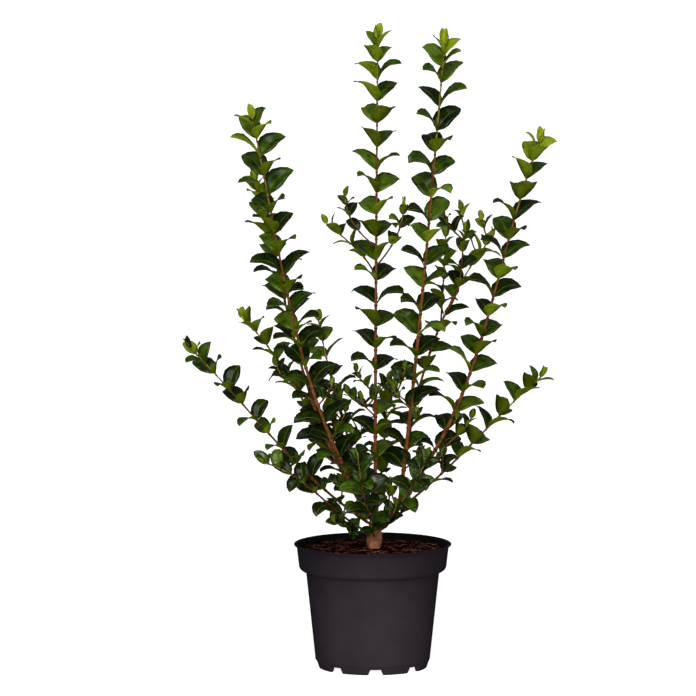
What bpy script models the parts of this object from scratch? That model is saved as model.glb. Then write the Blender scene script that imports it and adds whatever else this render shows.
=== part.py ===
"""Garden privet in a three-litre nursery pot, about 0.77 m tall, as a CAD assembly.

Metres, Z up. The origin is the centre of the pot's foot, X runs to the right and Y away from the front.
The pot, the peat, the trunk, each bough and each mass of foliage is one closed solid. A shoot is a cubic
curve that leaves its foot at one lean and reaches its tip at another. Its bare lower stretch is the bough,
and the rest, with its side twigs and its opposite pairs of leaves, is the mass of foliage.
"""

import math
import random
from dataclasses import dataclass, replace

import bmesh
import bpy
import numpy as np
from mathutils import Matrix, Vector
from mathutils.bvhtree import BVHTree

NAME = "potted_privet"
CLEARANCE = 0.0003  # between solids that rest on or meet each other

# Pot: a turned, injection-moulded container with a deep collar and a notched foot ring
POT_HEIGHT = 0.150
RIM_RADIUS = 0.095
LIP_DEPTH = 0.0040
COLLAR_TOP_RADIUS = 0.0914
COLLAR_FOOT_RADIUS = 0.0886
COLLAR_FOOT_HEIGHT = 0.1215
BODY_TOP_RADIUS = 0.0802
BODY_TOP_HEIGHT = 0.1155
BODY_FOOT_RADIUS = 0.0690
BODY_FOOT_HEIGHT = 0.0095
FOOT_RADIUS = 0.0652
FOOT_INNER_RADIUS = 0.0615
WALL = 0.0016
FLOOR_UNDERSIDE = 0.0085
POT_TURN_STEPS = 32
NOTCHES = 8
NOTCH_HEIGHT = 0.0065
NOTCH_TOP_WIDTH = 0.0125
NOTCH_FOOT_WIDTH = 0.0240
NOTCH_BEARING = math.radians(3)
DRAIN_RADIUS = 0.0045
DRAIN_CIRCLE = 0.0440
CUTTER_MARGIN = 0.0040  # how far a cutter reaches past what it cuts

# Peat: fills the pot to a few millimetres below its lip
PEAT_LEVEL = 0.1437
PEAT_EDGE_DROP = 0.0020

# Trunk: a swollen root collar cut flat at the peat, up to the fork
TRUNK_FOOT = Vector((0.0016, 0.0, PEAT_LEVEL + CLEARANCE))
TRUNK_TOP = Vector((0.0030, 0.0005, 0.1830))
TRUNK_GIRTHS = ((0.0, 0.0074), (0.08, 0.0088), (0.24, 0.0095), (0.48, 0.0084), (0.75, 0.0070), (1.0, 0.0056))

# Limbs and twigs
HANDLE = 0.36  # of the straight distance, from each end of a centre line to its control point
LINE_SAMPLES = 240
BOUGH_STEP = 0.012
STEM_STEP = 0.042
TRUNK_RESOLUTION = 2
BOUGH_RESOLUTION = 1
STEM_RESOLUTION = 0

# Leaves: full-grown ones are elliptic, folded up along the midrib, rise steeply and arch over at the end
LEAF_LENGTH = 0.047
LEAF_WIDTH_SHARE = 0.54
LEAF_THICKNESS = 0.0011
LEAF_FOLD = math.radians(17)
LEAF_ARCH_POWER = 1.1  # over 1 keeps more of the bend to the outer half
LEAF_ARCH_STEPS = 16
LARGE_LEAF = 0.0445  # longer ones have six corners, the others four
LEAF_SHOULDERS = (0.34, 0.72)  # shares of a six-cornered leaf's length where it is widest
LEAF_MARGIN = 0.0005
TESTED_FROM = 0.14  # share of a leaf, next to its stem, that is left out when it is tested for touching
FIRST_LEAF = 0.0050  # from the stem's foot to the lowest place for a pair
UPWARD_PULL = 0.45
LIGHT_TWIST = 24  # degrees that a blade across the view turns its upper side to the light in front
LEAF_ROLL = 14
PAIR_TURN = 90.0
PAIR_DRIFT = 14.0
TIP_SPACING = 0.0110
SPACING_GROWTH = 0.0050
TIP_LEAF_SHARE = 0.48
LEAF_GROWTH = 0.19
TIP_RISE, TIP_FALL = 6, 22  # degrees from the stem, of the tip's leaves at their root and at their own tip
GROWN_RISE, GROWN_FALL = 18, 95
SPREAD_LEFT = 0.35  # of the way from a tip leaf's posture to a grown one's, what each pair still lacks
OLD_DROOP = 14  # degrees more for the lowest leaves
OLD_PAIRS = 18
SEED = "garden"

# Short side shoots that take the place of some of the lower leaves
SPUR_ZONE = 0.32  # share of the shoot's length, from its foot, where they grow
SPUR_CHANCE = 0.24
SPUR_LENGTH = (0.028, 0.046)
SPUR_LEANS = (48, 26)  # degrees from the shoot, at the spur's foot and at its tip
SPUR_LEAF = 0.029
SPUR_GIRTHS = (0.0011, 0.0007)
SPUR_BARE = 0.011

# Ways to move a leaf that would touch something: degrees round the stem, degrees down, share of its length
ALTERNATIVES = (
    (0, 0, 1.0),
    (16, 0, 1.0),
    (-16, 0, 1.0),
    (0, 18, 1.0),
    (32, 6, 1.0),
    (-32, 6, 1.0),
    (0, -14, 0.92),
    (22, 12, 0.82),
    (-22, 12, 0.82),
    (0, 0, 0.72),
    (40, 0, 0.72),
    (-40, 0, 0.72),
)


@dataclass(frozen=True)
class Shoot:
    """One shoot from its foot, inside what carries it, to its tip bud."""

    name: str
    foot: tuple
    tip: tuple
    leans: tuple  # degrees from upright, at the foot and at the tip
    girths: tuple  # radius at the foot and at the tip
    bare: float  # length below the first leaves
    turn: float  # bearing of the tip pair of leaves, in degrees
    leaf: float = LEAF_LENGTH
    spacing: float = 0.0250  # between full-grown pairs
    twigs: tuple = ()


@dataclass(frozen=True)
class Twig:
    """A side twig of a shoot, from a share of the shoot's length to its own tip."""

    at: float
    tip: tuple
    leans: tuple
    turn: float
    girths: tuple = (0.0012, 0.0007)
    leaf: float = 0.031
    spacing: float = 0.0215
    bare: float = 0.014


FORK = (0.0325, -0.0020, 0.2005)
RIGHT_LIMB = Shoot("right_limb", (0.0030, 0.0, 0.1640), FORK, (60, 15), (0.0034, 0.0028), 0.0, 0)
SHOOTS = (
    Shoot(
        "tall_left", (0.0030, 0.0, 0.1770), (-0.142, -0.095, 0.667), (37, 14), (0.0024, 0.0008),
        0.036, 128, spacing=0.0235,
    ),
    Shoot(
        "tall_left_rear", (0.0028, 0.0008, 0.1735), (-0.140, -0.030, 0.588), (36, 16), (0.0023, 0.0008),
        0.042, 40, leaf=0.043,
    ),
    Shoot(
        "tall_middle", (0.0030, 0.0010, 0.1740), (0.006, 0.060, 0.754), (0, 9), (0.0025, 0.0008),
        0.048, 46, spacing=0.0265,
        twigs=(
            Twig(0.57, (-0.033, 0.020, 0.567), (54, 0), 40),
            Twig(0.51, (-0.056, 0.072, 0.530), (35, 60), 70),
            Twig(0.53, (0.037, 0.010, 0.556), (42, 2), 20),
        ),
    ),
    Shoot(
        "tall_inner_right", FORK, (0.084, -0.070, 0.752), (11, 8), (0.0026, 0.0008),
        0.024, 130, spacing=0.0270,
    ),
    Shoot(
        "tall_right", FORK, (0.201, 0.060, 0.630), (42, 22), (0.0024, 0.0008),
        0.024, 125, spacing=0.0240,
    ),
    Shoot(
        "low_left", (0.0025, 0.0, 0.1700), (-0.216, -0.100, 0.397), (58, 46), (0.0018, 0.0007),
        0.034, 40, leaf=0.038,
    ),
    Shoot(
        "low_right", (0.0280, -0.0015, 0.1890), (0.205, 0.090, 0.341), (60, 55), (0.0016, 0.0007),
        0.030, 60, leaf=0.040,
    ),
    Shoot(
        "front_left", (0.0022, 0.0, 0.1600), (-0.131, -0.110, 0.262), (68, 76), (0.0016, 0.0007),
        0.026, 60, leaf=0.036,
    ),
    Shoot(
        "front_middle", (0.0024, -0.0005, 0.1650), (-0.018, -0.150, 0.272), (64, 40), (0.0017, 0.0007),
        0.024, 30, leaf=0.038,
    ),
    Shoot(
        "front_right", (0.0238, -0.0010, 0.1825), (0.062, -0.120, 0.268), (62, 44), (0.0016, 0.0007),
        0.024, 20, leaf=0.036,
    ),
    Shoot(
        "front_low_left", (0.0010, 0.0, 0.1580), (-0.036, -0.046, 0.182), (70, 55), (0.0013, 0.0007),
        0.016, 80, leaf=0.028, spacing=0.0160,
    ),
    Shoot(
        "front_low_right", (0.0024, 0.0, 0.1640), (0.028, -0.052, 0.203), (66, 32), (0.0013, 0.0007),
        0.016, 120, leaf=0.030, spacing=0.0160,
    ),
    Shoot(
        "front_low_middle", (0.0018, 0.0, 0.1575), (-0.002, -0.054, 0.184), (74, 45), (0.0012, 0.0007),
        0.016, 35, leaf=0.026, spacing=0.0150,
    ),
    Shoot(
        "back_left", (0.0028, 0.0005, 0.1790), (-0.158, 0.120, 0.410), (46, 54), (0.0024, 0.0007),
        0.040, 40, leaf=0.037,
    ),
    Shoot(
        "back_right", (0.0328, -0.0020, 0.2020), (0.144, 0.130, 0.506), (8, 54), (0.0022, 0.0007),
        0.036, 20, leaf=0.038,
        twigs=(
            Twig(0.62, (0.090, 0.158, 0.507), (44, 30), 60),
            Twig(0.66, (0.112, 0.070, 0.522), (40, 10), 110),
        ),
    ),
    Shoot(
        "back_middle", (0.0026, 0.0010, 0.1720), (0.020, 0.150, 0.322), (60, 38), (0.0019, 0.0007),
        0.032, 80, leaf=0.036,
    ),
    Shoot(
        "rear_left", (0.0028, 0.0010, 0.1760), (-0.066, 0.150, 0.404), (40, 26), (0.0022, 0.0007),
        0.040, 60, leaf=0.036,
    ),
)


def principled(name, colour, roughness):
    """A plain material; colour is linear RGB."""
    material = bpy.data.materials.new(name)
    material.use_nodes = True
    shader = material.node_tree.nodes["Principled BSDF"]
    shader.inputs["Base Color"].default_value = (*colour, 1.0)
    shader.inputs["Roughness"].default_value = roughness
    shader.inputs["Metallic"].default_value = 0.0
    material.diffuse_color = (*colour, 1.0)
    return material


def clear_scene():
    for thing in list(bpy.data.objects):
        bpy.data.objects.remove(thing, do_unlink=True)


def new_collection(name, parent=None):
    collection = bpy.data.collections.new(name)
    (parent or bpy.context.scene.collection).children.link(collection)
    return collection


def new_object(name, mesh, collection, material=None):
    made = bpy.data.objects.new(name, mesh)
    collection.objects.link(made)
    if material:
        mesh.materials.append(material)
    return made


def mesh_from(bm, name):
    mesh = bpy.data.meshes.new(name)
    bm.to_mesh(mesh)
    bm.free()
    return mesh


def make_cutter(thing):
    thing.hide_render = True
    thing.display_type = "WIRE"
    return thing


def cut_by(thing, cutters):
    """Subtracts a cutter object, or every object of a collection of cutters."""
    boolean = thing.modifiers.new("Cut", "BOOLEAN")
    boolean.operation = "DIFFERENCE"
    boolean.solver = "EXACT"
    if isinstance(cutters, bpy.types.Collection):
        boolean.operand_type = "COLLECTION"
        boolean.collection = cutters
    else:
        boolean.object = cutters


def turned(name, profile, collection, material):
    """A profile of (radius, height) points, down its outer side, turned about the Z axis."""
    bm = bmesh.new()
    points = [bm.verts.new((radius, 0.0, height)) for radius, height in profile]
    for first, second in zip(points, points[1:]):
        bm.edges.new((first, second))
    made = new_object(name, mesh_from(bm, name), collection, material)
    screw = made.modifiers.new("Turn", "SCREW")
    screw.steps = screw.render_steps = POT_TURN_STEPS
    screw.use_merge_vertices = True
    screw.merge_threshold = 0.00001
    return made


def pot_wall_profile():
    """The inner face from the floor's centre up, over the lip, down the outside and in under the floor."""
    floor = FLOOR_UNDERSIDE + WALL
    lip = POT_HEIGHT - LIP_DEPTH
    inner = [
        (0.0, floor),
        (BODY_FOOT_RADIUS - WALL, floor),
        (BODY_TOP_RADIUS - WALL, BODY_TOP_HEIGHT + WALL),
        (COLLAR_FOOT_RADIUS - WALL, COLLAR_FOOT_HEIGHT + WALL),
        (COLLAR_TOP_RADIUS - WALL, lip),
        (COLLAR_TOP_RADIUS - WALL + 0.0008, POT_HEIGHT - 0.0005),
    ]
    lip_bead = [
        (COLLAR_TOP_RADIUS + 0.0010, POT_HEIGHT),
        (RIM_RADIUS - 0.0008, POT_HEIGHT),
        (RIM_RADIUS, POT_HEIGHT - 0.0010),
        (COLLAR_TOP_RADIUS, lip),
    ]
    outer = [
        (COLLAR_FOOT_RADIUS, COLLAR_FOOT_HEIGHT),
        (COLLAR_FOOT_RADIUS - 0.0022, COLLAR_FOOT_HEIGHT - 0.0028),
        (BODY_TOP_RADIUS, BODY_TOP_HEIGHT),
        (BODY_FOOT_RADIUS, BODY_FOOT_HEIGHT),
        (FOOT_RADIUS, 0.0012),
        (FOOT_RADIUS - 0.0010, 0.0),
    ]
    underside = [(FOOT_INNER_RADIUS, 0.0), (FOOT_INNER_RADIUS, FLOOR_UNDERSIDE), (0.0, FLOOR_UNDERSIDE)]
    return inner + lip_bead + outer + underside


def build_pot(parts, cutters):
    pot = turned("pot", pot_wall_profile(), parts, principled("pot_plastic", (0.030, 0.026, 0.031), 0.42))
    foot_cutters = new_collection("Foot cutters", cutters)
    for number in range(NOTCHES):
        bearing = NOTCH_BEARING - math.pi / 2 + number * math.tau / NOTCHES
        bm = bmesh.new()
        bmesh.ops.create_cube(bm, size=1.0)
        for corner in bm.verts:
            width = NOTCH_TOP_WIDTH if corner.co.z > 0 else NOTCH_FOOT_WIDTH
            height = NOTCH_HEIGHT if corner.co.z > 0 else -CUTTER_MARGIN / 2
            radius = FOOT_RADIUS + CUTTER_MARGIN if corner.co.x > 0 else FOOT_INNER_RADIUS - CUTTER_MARGIN
            corner.co = Vector((radius, math.copysign(width / 2, corner.co.y), height))
        name = f"foot_notch_{number + 1}"
        notch = make_cutter(new_object(name, mesh_from(bm, name), foot_cutters))
        notch.rotation_euler.z = bearing
        bm = bmesh.new()
        radii = {"radius1": DRAIN_RADIUS, "radius2": DRAIN_RADIUS}
        bmesh.ops.create_cone(bm, segments=10, depth=CUTTER_MARGIN, cap_ends=True, **radii)
        name = f"drain_hole_{number + 1}"
        drain = make_cutter(new_object(name, mesh_from(bm, name), foot_cutters))
        height = FLOOR_UNDERSIDE + WALL / 2
        drain.location = (DRAIN_CIRCLE * math.cos(bearing), DRAIN_CIRCLE * math.sin(bearing), height)
    cut_by(pot, foot_cutters)
    return pot


def build_peat(parts):
    """The root ball and the peat round it: the inside of the pot, less the clearance, to the peat's level."""
    gap = WALL + CLEARANCE / math.cos(math.pi / POT_TURN_STEPS)
    bottom = FLOOR_UNDERSIDE + WALL + CLEARANCE
    edge = PEAT_LEVEL - PEAT_EDGE_DROP
    collar_share = (edge - COLLAR_FOOT_HEIGHT) / (POT_HEIGHT - LIP_DEPTH - COLLAR_FOOT_HEIGHT)
    edge_radius = COLLAR_FOOT_RADIUS + collar_share * (COLLAR_TOP_RADIUS - COLLAR_FOOT_RADIUS) - gap
    profile = [
        (0.0, PEAT_LEVEL),
        (0.55 * RIM_RADIUS, PEAT_LEVEL),
        (0.86 * RIM_RADIUS, edge + 0.0006),
        (edge_radius - 0.0002, edge),
        (COLLAR_FOOT_RADIUS - gap - 0.0004, COLLAR_FOOT_HEIGHT + 2 * WALL),
        (BODY_TOP_RADIUS - gap - 0.0006, BODY_TOP_HEIGHT + 2 * WALL),
        (BODY_FOOT_RADIUS - gap - 0.0002, bottom),
        (0.0, bottom),
    ]
    return turned("peat", profile, parts, principled("peat", (0.022, 0.006, 0.003), 0.95))


class CentreLine:
    """A shoot's cubic curve, read by distance from its foot."""

    def __init__(self, foot, tip, leans):
        foot, tip = np.array(foot), np.array(tip)
        chord = tip - foot
        heading = chord * (1, 1, 0) / np.hypot(chord[0], chord[1])
        handle = HANDLE * np.linalg.norm(chord)
        up = np.array((0.0, 0.0, 1.0))
        leaving, arriving = (
            handle * (math.sin(lean) * heading + math.cos(lean) * up) for lean in np.radians(leans)
        )
        t = np.linspace(0, 1, LINE_SAMPLES)[:, None]
        outer_half = 3 * t**2 * (1 - t) * (tip - arriving) + t**3 * tip
        self.points = (1 - t) ** 3 * foot + 3 * t * (1 - t) ** 2 * (foot + leaving) + outer_half
        steps = np.linalg.norm(np.diff(self.points, axis=0), axis=1)
        self.distances = np.concatenate([[0], np.cumsum(steps)])
        self.length = float(self.distances[-1])

    def at(self, distance):
        return Vector(np.interp(distance, self.distances, self.points[:, axis]) for axis in range(3))

    def along(self, distance):
        reach = 0.002
        ahead = self.at(min(distance + reach, self.length))
        return (ahead - self.at(max(distance - reach, 0))).normalized()


def limb(name, points, radii, resolution):
    """A closed tapering mesh along points, made from a bevelled curve."""
    curve = bpy.data.curves.new(name, "CURVE")
    curve.dimensions = "3D"
    curve.bevel_depth = 1.0
    curve.bevel_resolution = resolution
    curve.use_fill_caps = True
    spline = curve.splines.new("POLY")
    spline.points.add(len(points) - 1)
    for point, place, radius in zip(spline.points, points, radii):
        point.co = (*place, 1.0)
        point.radius = radius
    guide = bpy.data.objects.new(name, curve)
    bpy.context.scene.collection.objects.link(guide)
    graph = bpy.context.evaluated_depsgraph_get()
    mesh = bpy.data.meshes.new_from_object(guide.evaluated_get(graph))
    bpy.data.objects.remove(guide, do_unlink=True)
    bpy.data.curves.remove(curve)
    bm = bmesh.new()
    bm.from_mesh(mesh)
    bmesh.ops.remove_doubles(bm, verts=bm.verts, dist=0.00001)
    bm.to_mesh(mesh)
    bm.free()
    mesh.name = name
    return mesh


def stretch(line, girths, start, end, step, grown=0.0):
    """Points and radii of the part of a centre line from one distance to another."""
    count = max(2, 1 + math.ceil((end - start) / step))
    distances = np.linspace(start, end, count)
    shares = distances / line.length
    radii = girths[0] + (girths[1] - girths[0]) * shares + grown
    return [line.at(distance) for distance in distances], radii


def tree_of(mesh):
    return BVHTree.FromPolygons([v.co for v in mesh.vertices], [tuple(p.vertices) for p in mesh.polygons])


class LimbWork:
    """Builds limbs one after another, each cut clear of those it starts in."""

    def __init__(self, parts, cutters):
        self.parts = parts
        self.cutters = new_collection("Limb clearances", cutters)
        self.done = []
        self.trees = []

    def add(self, name, mesh, grown_mesh, material):
        made = new_object(name, mesh, self.parts, material)
        mesh.shade_smooth()
        mesh.set_sharp_from_angle(angle=math.radians(50))
        tree = tree_of(mesh)
        for earlier, clearance in self.done:
            if earlier.overlap(tree):
                cut_by(made, clearance)
        clearance = make_cutter(new_object(f"{name}_clearance", grown_mesh, self.cutters))
        self.done.append((tree_of(grown_mesh), clearance))
        self.trees.append(tree)
        return made


def build_trunk(limbs, bark):
    places = [TRUNK_FOOT.lerp(TRUNK_TOP, share) for share, _ in TRUNK_GIRTHS]
    places[1].xy = TRUNK_FOOT.xy  # so that the cut at the peat is level
    radii = [radius for _, radius in TRUNK_GIRTHS]
    grown_places = places[:-1] + [places[-1] + Vector((0, 0, CLEARANCE))]
    grown = limb("trunk_clearance", grown_places, [radius + CLEARANCE for radius in radii], TRUNK_RESOLUTION)
    return limbs.add("trunk", limb("trunk", places, radii, TRUNK_RESOLUTION), grown, bark)


def build_bough(limbs, shoot, line, end, bark):
    name = shoot.name if shoot is RIGHT_LIMB else f"bough_{shoot.name}"
    points, radii = stretch(line, shoot.girths, 0.0, end, BOUGH_STEP)
    grown_points = points[:-1] + [points[-1] + CLEARANCE * line.along(end)]
    grown = limb(f"{name}_clearance", grown_points, radii + CLEARANCE, BOUGH_RESOLUTION)
    return limbs.add(name, limb(name, points, radii, BOUGH_RESOLUTION), grown, bark)


@dataclass(frozen=True)
class Leaf:
    """A leaf by its root on the stem's centre line, the way it faces and how it bends."""

    root: Vector
    stem: Vector
    out: Vector
    length: float
    rise: float  # angle from the stem at its root
    fall: float  # angle from the stem at its tip
    roll: float

    def turned(self, round_stem, down, share):
        out = Matrix.Rotation(math.radians(round_stem), 3, self.stem) @ self.out
        down = math.radians(down)
        rise, fall = self.rise + down, self.fall + down
        return replace(self, out=out, length=self.length * share, rise=rise, fall=fall)


def midrib(leaf, share, length):
    """The midrib's angle from the stem at a share of its length, and how far along and out that place is."""
    shares = (np.arange(LEAF_ARCH_STEPS) + 0.5) / LEAF_ARCH_STEPS * share
    angles = leaf.rise + (leaf.fall - leaf.rise) * shares**LEAF_ARCH_POWER
    reach = length * share
    angle = leaf.rise + (leaf.fall - leaf.rise) * share**LEAF_ARCH_POWER
    return angle, reach * float(np.cos(angles).mean()), reach * float(np.sin(angles).mean())


def leaf_mesh(leaf, margin=0.0, start=0.0):
    """A flat double pyramid whose rim is the leaf's outline and whose two points are its back and its belly.

    Along the leaf the midrib is an arc that turns from rise to fall. The two halves fold up from it. A margin
    makes the form larger all round, and start leaves out that share of it next to the stem.
    """
    length = leaf.length + margin
    half_width = leaf.length * LEAF_WIDTH_SHARE / 2 + margin
    half_thick = LEAF_THICKNESS / 2 + margin
    side = leaf.stem.cross(leaf.out)
    bm = bmesh.new()
    corners = 6 if leaf.length > LARGE_LEAF else 4
    bmesh.ops.create_uvsphere(bm, u_segments=corners, v_segments=2, radius=1.0)
    widest = max(vertex.co.x for vertex in bm.verts)
    for vertex in bm.verts:
        across = -vertex.co.x / widest
        share = max((1 + vertex.co.y) / 2, start)
        if corners == 6 and abs(across) > 0.5:
            share = LEAF_SHOULDERS[vertex.co.y > 0]
        angle, along_stem, outward = midrib(leaf, share, length)
        face = math.sin(angle) * leaf.stem - math.cos(angle) * leaf.out
        spread = half_width * across
        tilt = math.copysign(LEAF_FOLD, across) + leaf.roll
        lift = spread * math.sin(tilt) + vertex.co.z * half_thick
        place = along_stem * leaf.stem + outward * leaf.out + spread * math.cos(tilt) * side + lift * face
        vertex.co = leaf.root + place
    return bm


def leaf_tree(leaf, margin, start):
    bm = leaf_mesh(leaf, margin, start)
    tree = BVHTree.FromBMesh(bm)
    bm.free()
    return tree


def leaf_stations(length, bare, full_spacing, chance):
    """Distances from the foot of each pair, from the tip down, closer together near the tip."""
    spacing = TIP_SPACING
    distance = length - 0.002
    while distance > bare:
        yield distance
        distance -= spacing * chance.uniform(0.9, 1.1)
        spacing = min(full_spacing, spacing + SPACING_GROWTH)


def leaves_on(line, plan, bare, chance):
    """Opposite pairs of leaves with their distances from the foot, from the tip down.

    Each pair is at right angles to the one above. The tip's are small and upright, lower ones arch over.
    """
    for number, distance in enumerate(leaf_stations(line.length, bare, plan.spacing, chance)):
        root, stem = line.at(distance), line.along(distance)
        stem = (stem * (1 - UPWARD_PULL) + Vector((0, 0, UPWARD_PULL))).normalized()
        bearing = math.radians(plan.turn + PAIR_TURN * number + chance.uniform(-PAIR_DRIFT, PAIR_DRIFT))
        first = Vector((math.cos(bearing), math.sin(bearing), 0.0))
        first = (first - first.dot(stem) * stem).normalized()
        age = min(1.0, TIP_LEAF_SHARE + LEAF_GROWTH * number)
        spread = 1.0 - SPREAD_LEFT**number
        droop = OLD_DROOP * min(1.0, number / OLD_PAIRS)
        for out in (first, -first):
            length = plan.leaf * age * chance.uniform(0.88, 1.08)
            rise = math.radians(TIP_RISE + spread * (GROWN_RISE - TIP_RISE) + droop + chance.uniform(-6, 6))
            fall = math.radians(TIP_FALL + spread * (GROWN_FALL - TIP_FALL) + droop + chance.uniform(-14, 14))
            out = Matrix.Rotation(math.radians(chance.uniform(-8, 8)), 3, stem) @ out
            roll = math.radians(LIGHT_TWIST * stem.cross(out).y + chance.uniform(-LEAF_ROLL, LEAF_ROLL))
            yield distance, Leaf(root, stem, out, length, rise, fall, roll)


def twig_lines(shoot, line):
    """(centre line, twig) of each side twig, rooted on the shoot's centre line."""
    return [(CentreLine(line.at(twig.at * line.length), twig.tip, twig.leans), twig) for twig in shoot.twigs]


def union_with(stem, collection):
    """Joins every object of a collection to the stem, applies the union and removes the collection."""
    boolean = stem.modifiers.new("Join", "BOOLEAN")
    boolean.operation = "UNION"
    boolean.operand_type = "COLLECTION"
    boolean.collection = collection
    boolean.solver = "MANIFOLD"
    graph = bpy.context.evaluated_depsgraph_get()
    joined = bpy.data.meshes.new_from_object(stem.evaluated_get(graph))
    stem.modifiers.clear()
    old = stem.data
    stem.data = joined
    joined.name = stem.name
    bpy.data.meshes.remove(old)
    for member in list(collection.objects):
        bpy.data.objects.remove(member, do_unlink=True)
    bpy.data.collections.remove(collection)


def keep_largest_shell(mesh):
    """Drops loose scraps, scraps that hang on by one edge, and the inner shells of sealed hollows."""
    bm = bmesh.new()
    bm.from_mesh(mesh)
    seen, shells = set(), []
    for face in bm.faces:
        if face in seen:
            continue
        shell, todo = [], [face]
        seen.add(face)
        while todo:
            here = todo.pop()
            shell.append(here)
            clean = [edge for edge in here.edges if len(edge.link_faces) == 2]
            for other in (neighbour for edge in clean for neighbour in edge.link_faces):
                if other not in seen:
                    seen.add(other)
                    todo.append(other)
        shells.append(shell)
    shells.sort(key=len, reverse=True)
    for scrap in shells[1:]:
        bmesh.ops.delete(bm, geom=scrap, context="FACES")
    bm.to_mesh(mesh)
    bm.free()


class Taken:
    """What the limbs and each mass fill already, for testing a new piece against."""

    def __init__(self, limbs):
        self.trees = {"limbs": limbs}

    def add(self, owner, tree):
        self.trees.setdefault(owner, []).append(tree)

    def is_clear(self, owner, whole, outer):
        """Whether a piece is clear of other masses as a whole, and of its own mass away from its root."""
        for name, trees in self.trees.items():
            piece = outer if name == owner else whole
            if any(piece.overlap(tree) for tree in trees):
                return False
        return True


def spur_from(leaf, chance):
    """A short side shoot in a leaf's place: its centre line and its plan."""
    reach = chance.uniform(*SPUR_LENGTH)
    lean = math.radians(SPUR_LEANS[0])
    tip = leaf.root + reach * (math.cos(lean) * leaf.stem + math.sin(lean) * leaf.out)
    plan = Twig(0.0, tuple(tip), SPUR_LEANS, chance.uniform(0, 180), SPUR_GIRTHS, SPUR_LEAF, bare=SPUR_BARE)
    return CentreLine(leaf.root, plan.tip, plan.leans), plan


class Mass:
    """The leafy stem of a shoot with its twigs and leaves, gathered clear of what is there already."""

    def __init__(self, shoot, line):
        self.shoot, self.line = shoot, line
        self.name = f"foliage_{shoot.name}"
        self.chance = random.Random(f"{SEED} {shoot.name}")
        self.meshes = []

    def claim_stems(self, taken):
        """Marks the stem and the planned twigs as taken before any leaf is placed."""
        for line, plan, start in [(self.line, self.shoot, self.shoot.bare)] + [
            (twig_line, twig, 0.0) for twig_line, twig in twig_lines(self.shoot, self.line)
        ]:
            points = stretch(line, plan.girths, start, line.length, STEM_STEP, LEAF_MARGIN)
            mesh = limb("claim", *points, STEM_RESOLUTION)
            taken.add(self.name, tree_of(mesh))
            bpy.data.meshes.remove(mesh)

    def try_spur(self, leaf, taken):
        """A spur in this leaf's place, if it has room: its centre line, its plan and its form."""
        line, plan = spur_from(leaf, self.chance)
        whole = limb("twig", *stretch(line, plan.girths, 0.0, line.length, STEM_STEP / 2), STEM_RESOLUTION)
        points = stretch(line, plan.girths, SPUR_BARE / 2, line.length, STEM_STEP)
        outer = limb("claim", *points, STEM_RESOLUTION)
        outer_tree = tree_of(outer)
        bpy.data.meshes.remove(outer)
        tree = tree_of(whole)
        if not taken.is_clear(self.name, tree, outer_tree):
            bpy.data.meshes.remove(whole)
            return None
        self.meshes.append(whole)
        return line, plan, tree

    def place_leaf(self, leaf, taken):
        """Adds the leaf as the first of its alternatives that touches nothing, and returns its form."""
        for change in ALTERNATIVES:
            candidate = leaf.turned(*change)
            outer = leaf_tree(candidate, LEAF_MARGIN, TESTED_FROM)
            whole = leaf_tree(candidate, LEAF_MARGIN, 0.0)
            if taken.is_clear(self.name, whole, outer):
                self.meshes.append(mesh_from(leaf_mesh(candidate), "leaf"))
                return whole
        return None

    def grow(self, line, plan, bare, taken, spurs):
        """Places the leaves of one stem or twig, then those of its spurs."""
        leaves, side_shoots = [], []
        for distance, leaf in leaves_on(line, plan, bare, self.chance):
            low = spurs and distance < SPUR_ZONE * line.length
            spur = self.try_spur(leaf, taken) if low and self.chance.random() < SPUR_CHANCE else None
            if spur:
                side_shoots.append(spur)
            else:
                leaves.append(self.place_leaf(leaf, taken))
        for tree in filter(None, leaves):
            taken.add(self.name, tree)
        for spur, spur_plan, tree in side_shoots:
            self.grow(spur, spur_plan, SPUR_BARE, taken, False)
            taken.add(self.name, tree)

    def build(self, taken, parts, material):
        start = self.shoot.bare + CLEARANCE
        points = stretch(self.line, self.shoot.girths, start, self.line.length, STEM_STEP)
        stem = limb(self.name, *points, STEM_RESOLUTION)
        twigs = twig_lines(self.shoot, self.line)
        for twig_line, twig in twigs:
            points = stretch(twig_line, twig.girths, 0.0, twig_line.length, STEM_STEP / 2)
            self.meshes.append(limb("twig", *points, STEM_RESOLUTION))
        self.grow(self.line, self.shoot, start + FIRST_LEAF, taken, True)
        for twig_line, twig in twigs:
            self.grow(twig_line, twig, twig.bare, taken, False)
        pieces = new_collection(f"{self.name} pieces")
        for mesh in self.meshes:
            new_object(f"{self.name} {mesh.name}", mesh, pieces)
        mass = new_object(self.name, stem, parts, material)
        union_with(mass, pieces)
        keep_largest_shell(mass.data)


def main():
    clear_scene()
    parts = new_collection(NAME)
    cutters = new_collection("Cutters")
    cutters.hide_render = True
    build_pot(parts, cutters)
    build_peat(parts)
    trunk_bark = principled("trunk_bark", (0.30, 0.14, 0.085), 0.8)
    bough_bark = principled("bough_bark", (0.16, 0.062, 0.030), 0.75)
    green = principled("foliage", (0.028, 0.060, 0.010), 0.4)

    limbs = LimbWork(parts, cutters)
    build_trunk(limbs, trunk_bark)
    limb_line = CentreLine(RIGHT_LIMB.foot, RIGHT_LIMB.tip, RIGHT_LIMB.leans)
    build_bough(limbs, RIGHT_LIMB, limb_line, limb_line.length, bough_bark)
    lines = {shoot: CentreLine(shoot.foot, shoot.tip, shoot.leans) for shoot in SHOOTS}
    for shoot, line in lines.items():
        build_bough(limbs, shoot, line, shoot.bare, bough_bark)

    taken = Taken(limbs.trees)
    masses = [Mass(shoot, line) for shoot, line in lines.items()]
    for mass in masses:
        mass.claim_stems(taken)
    for mass in masses:
        mass.build(taken, parts, green)


main()
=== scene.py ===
"""Looks of the garden privet in its nursery pot: moulded pot, peat, bark, twigs and leaves, in a studio."""

import math
import random
from dataclasses import dataclass, replace

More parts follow.
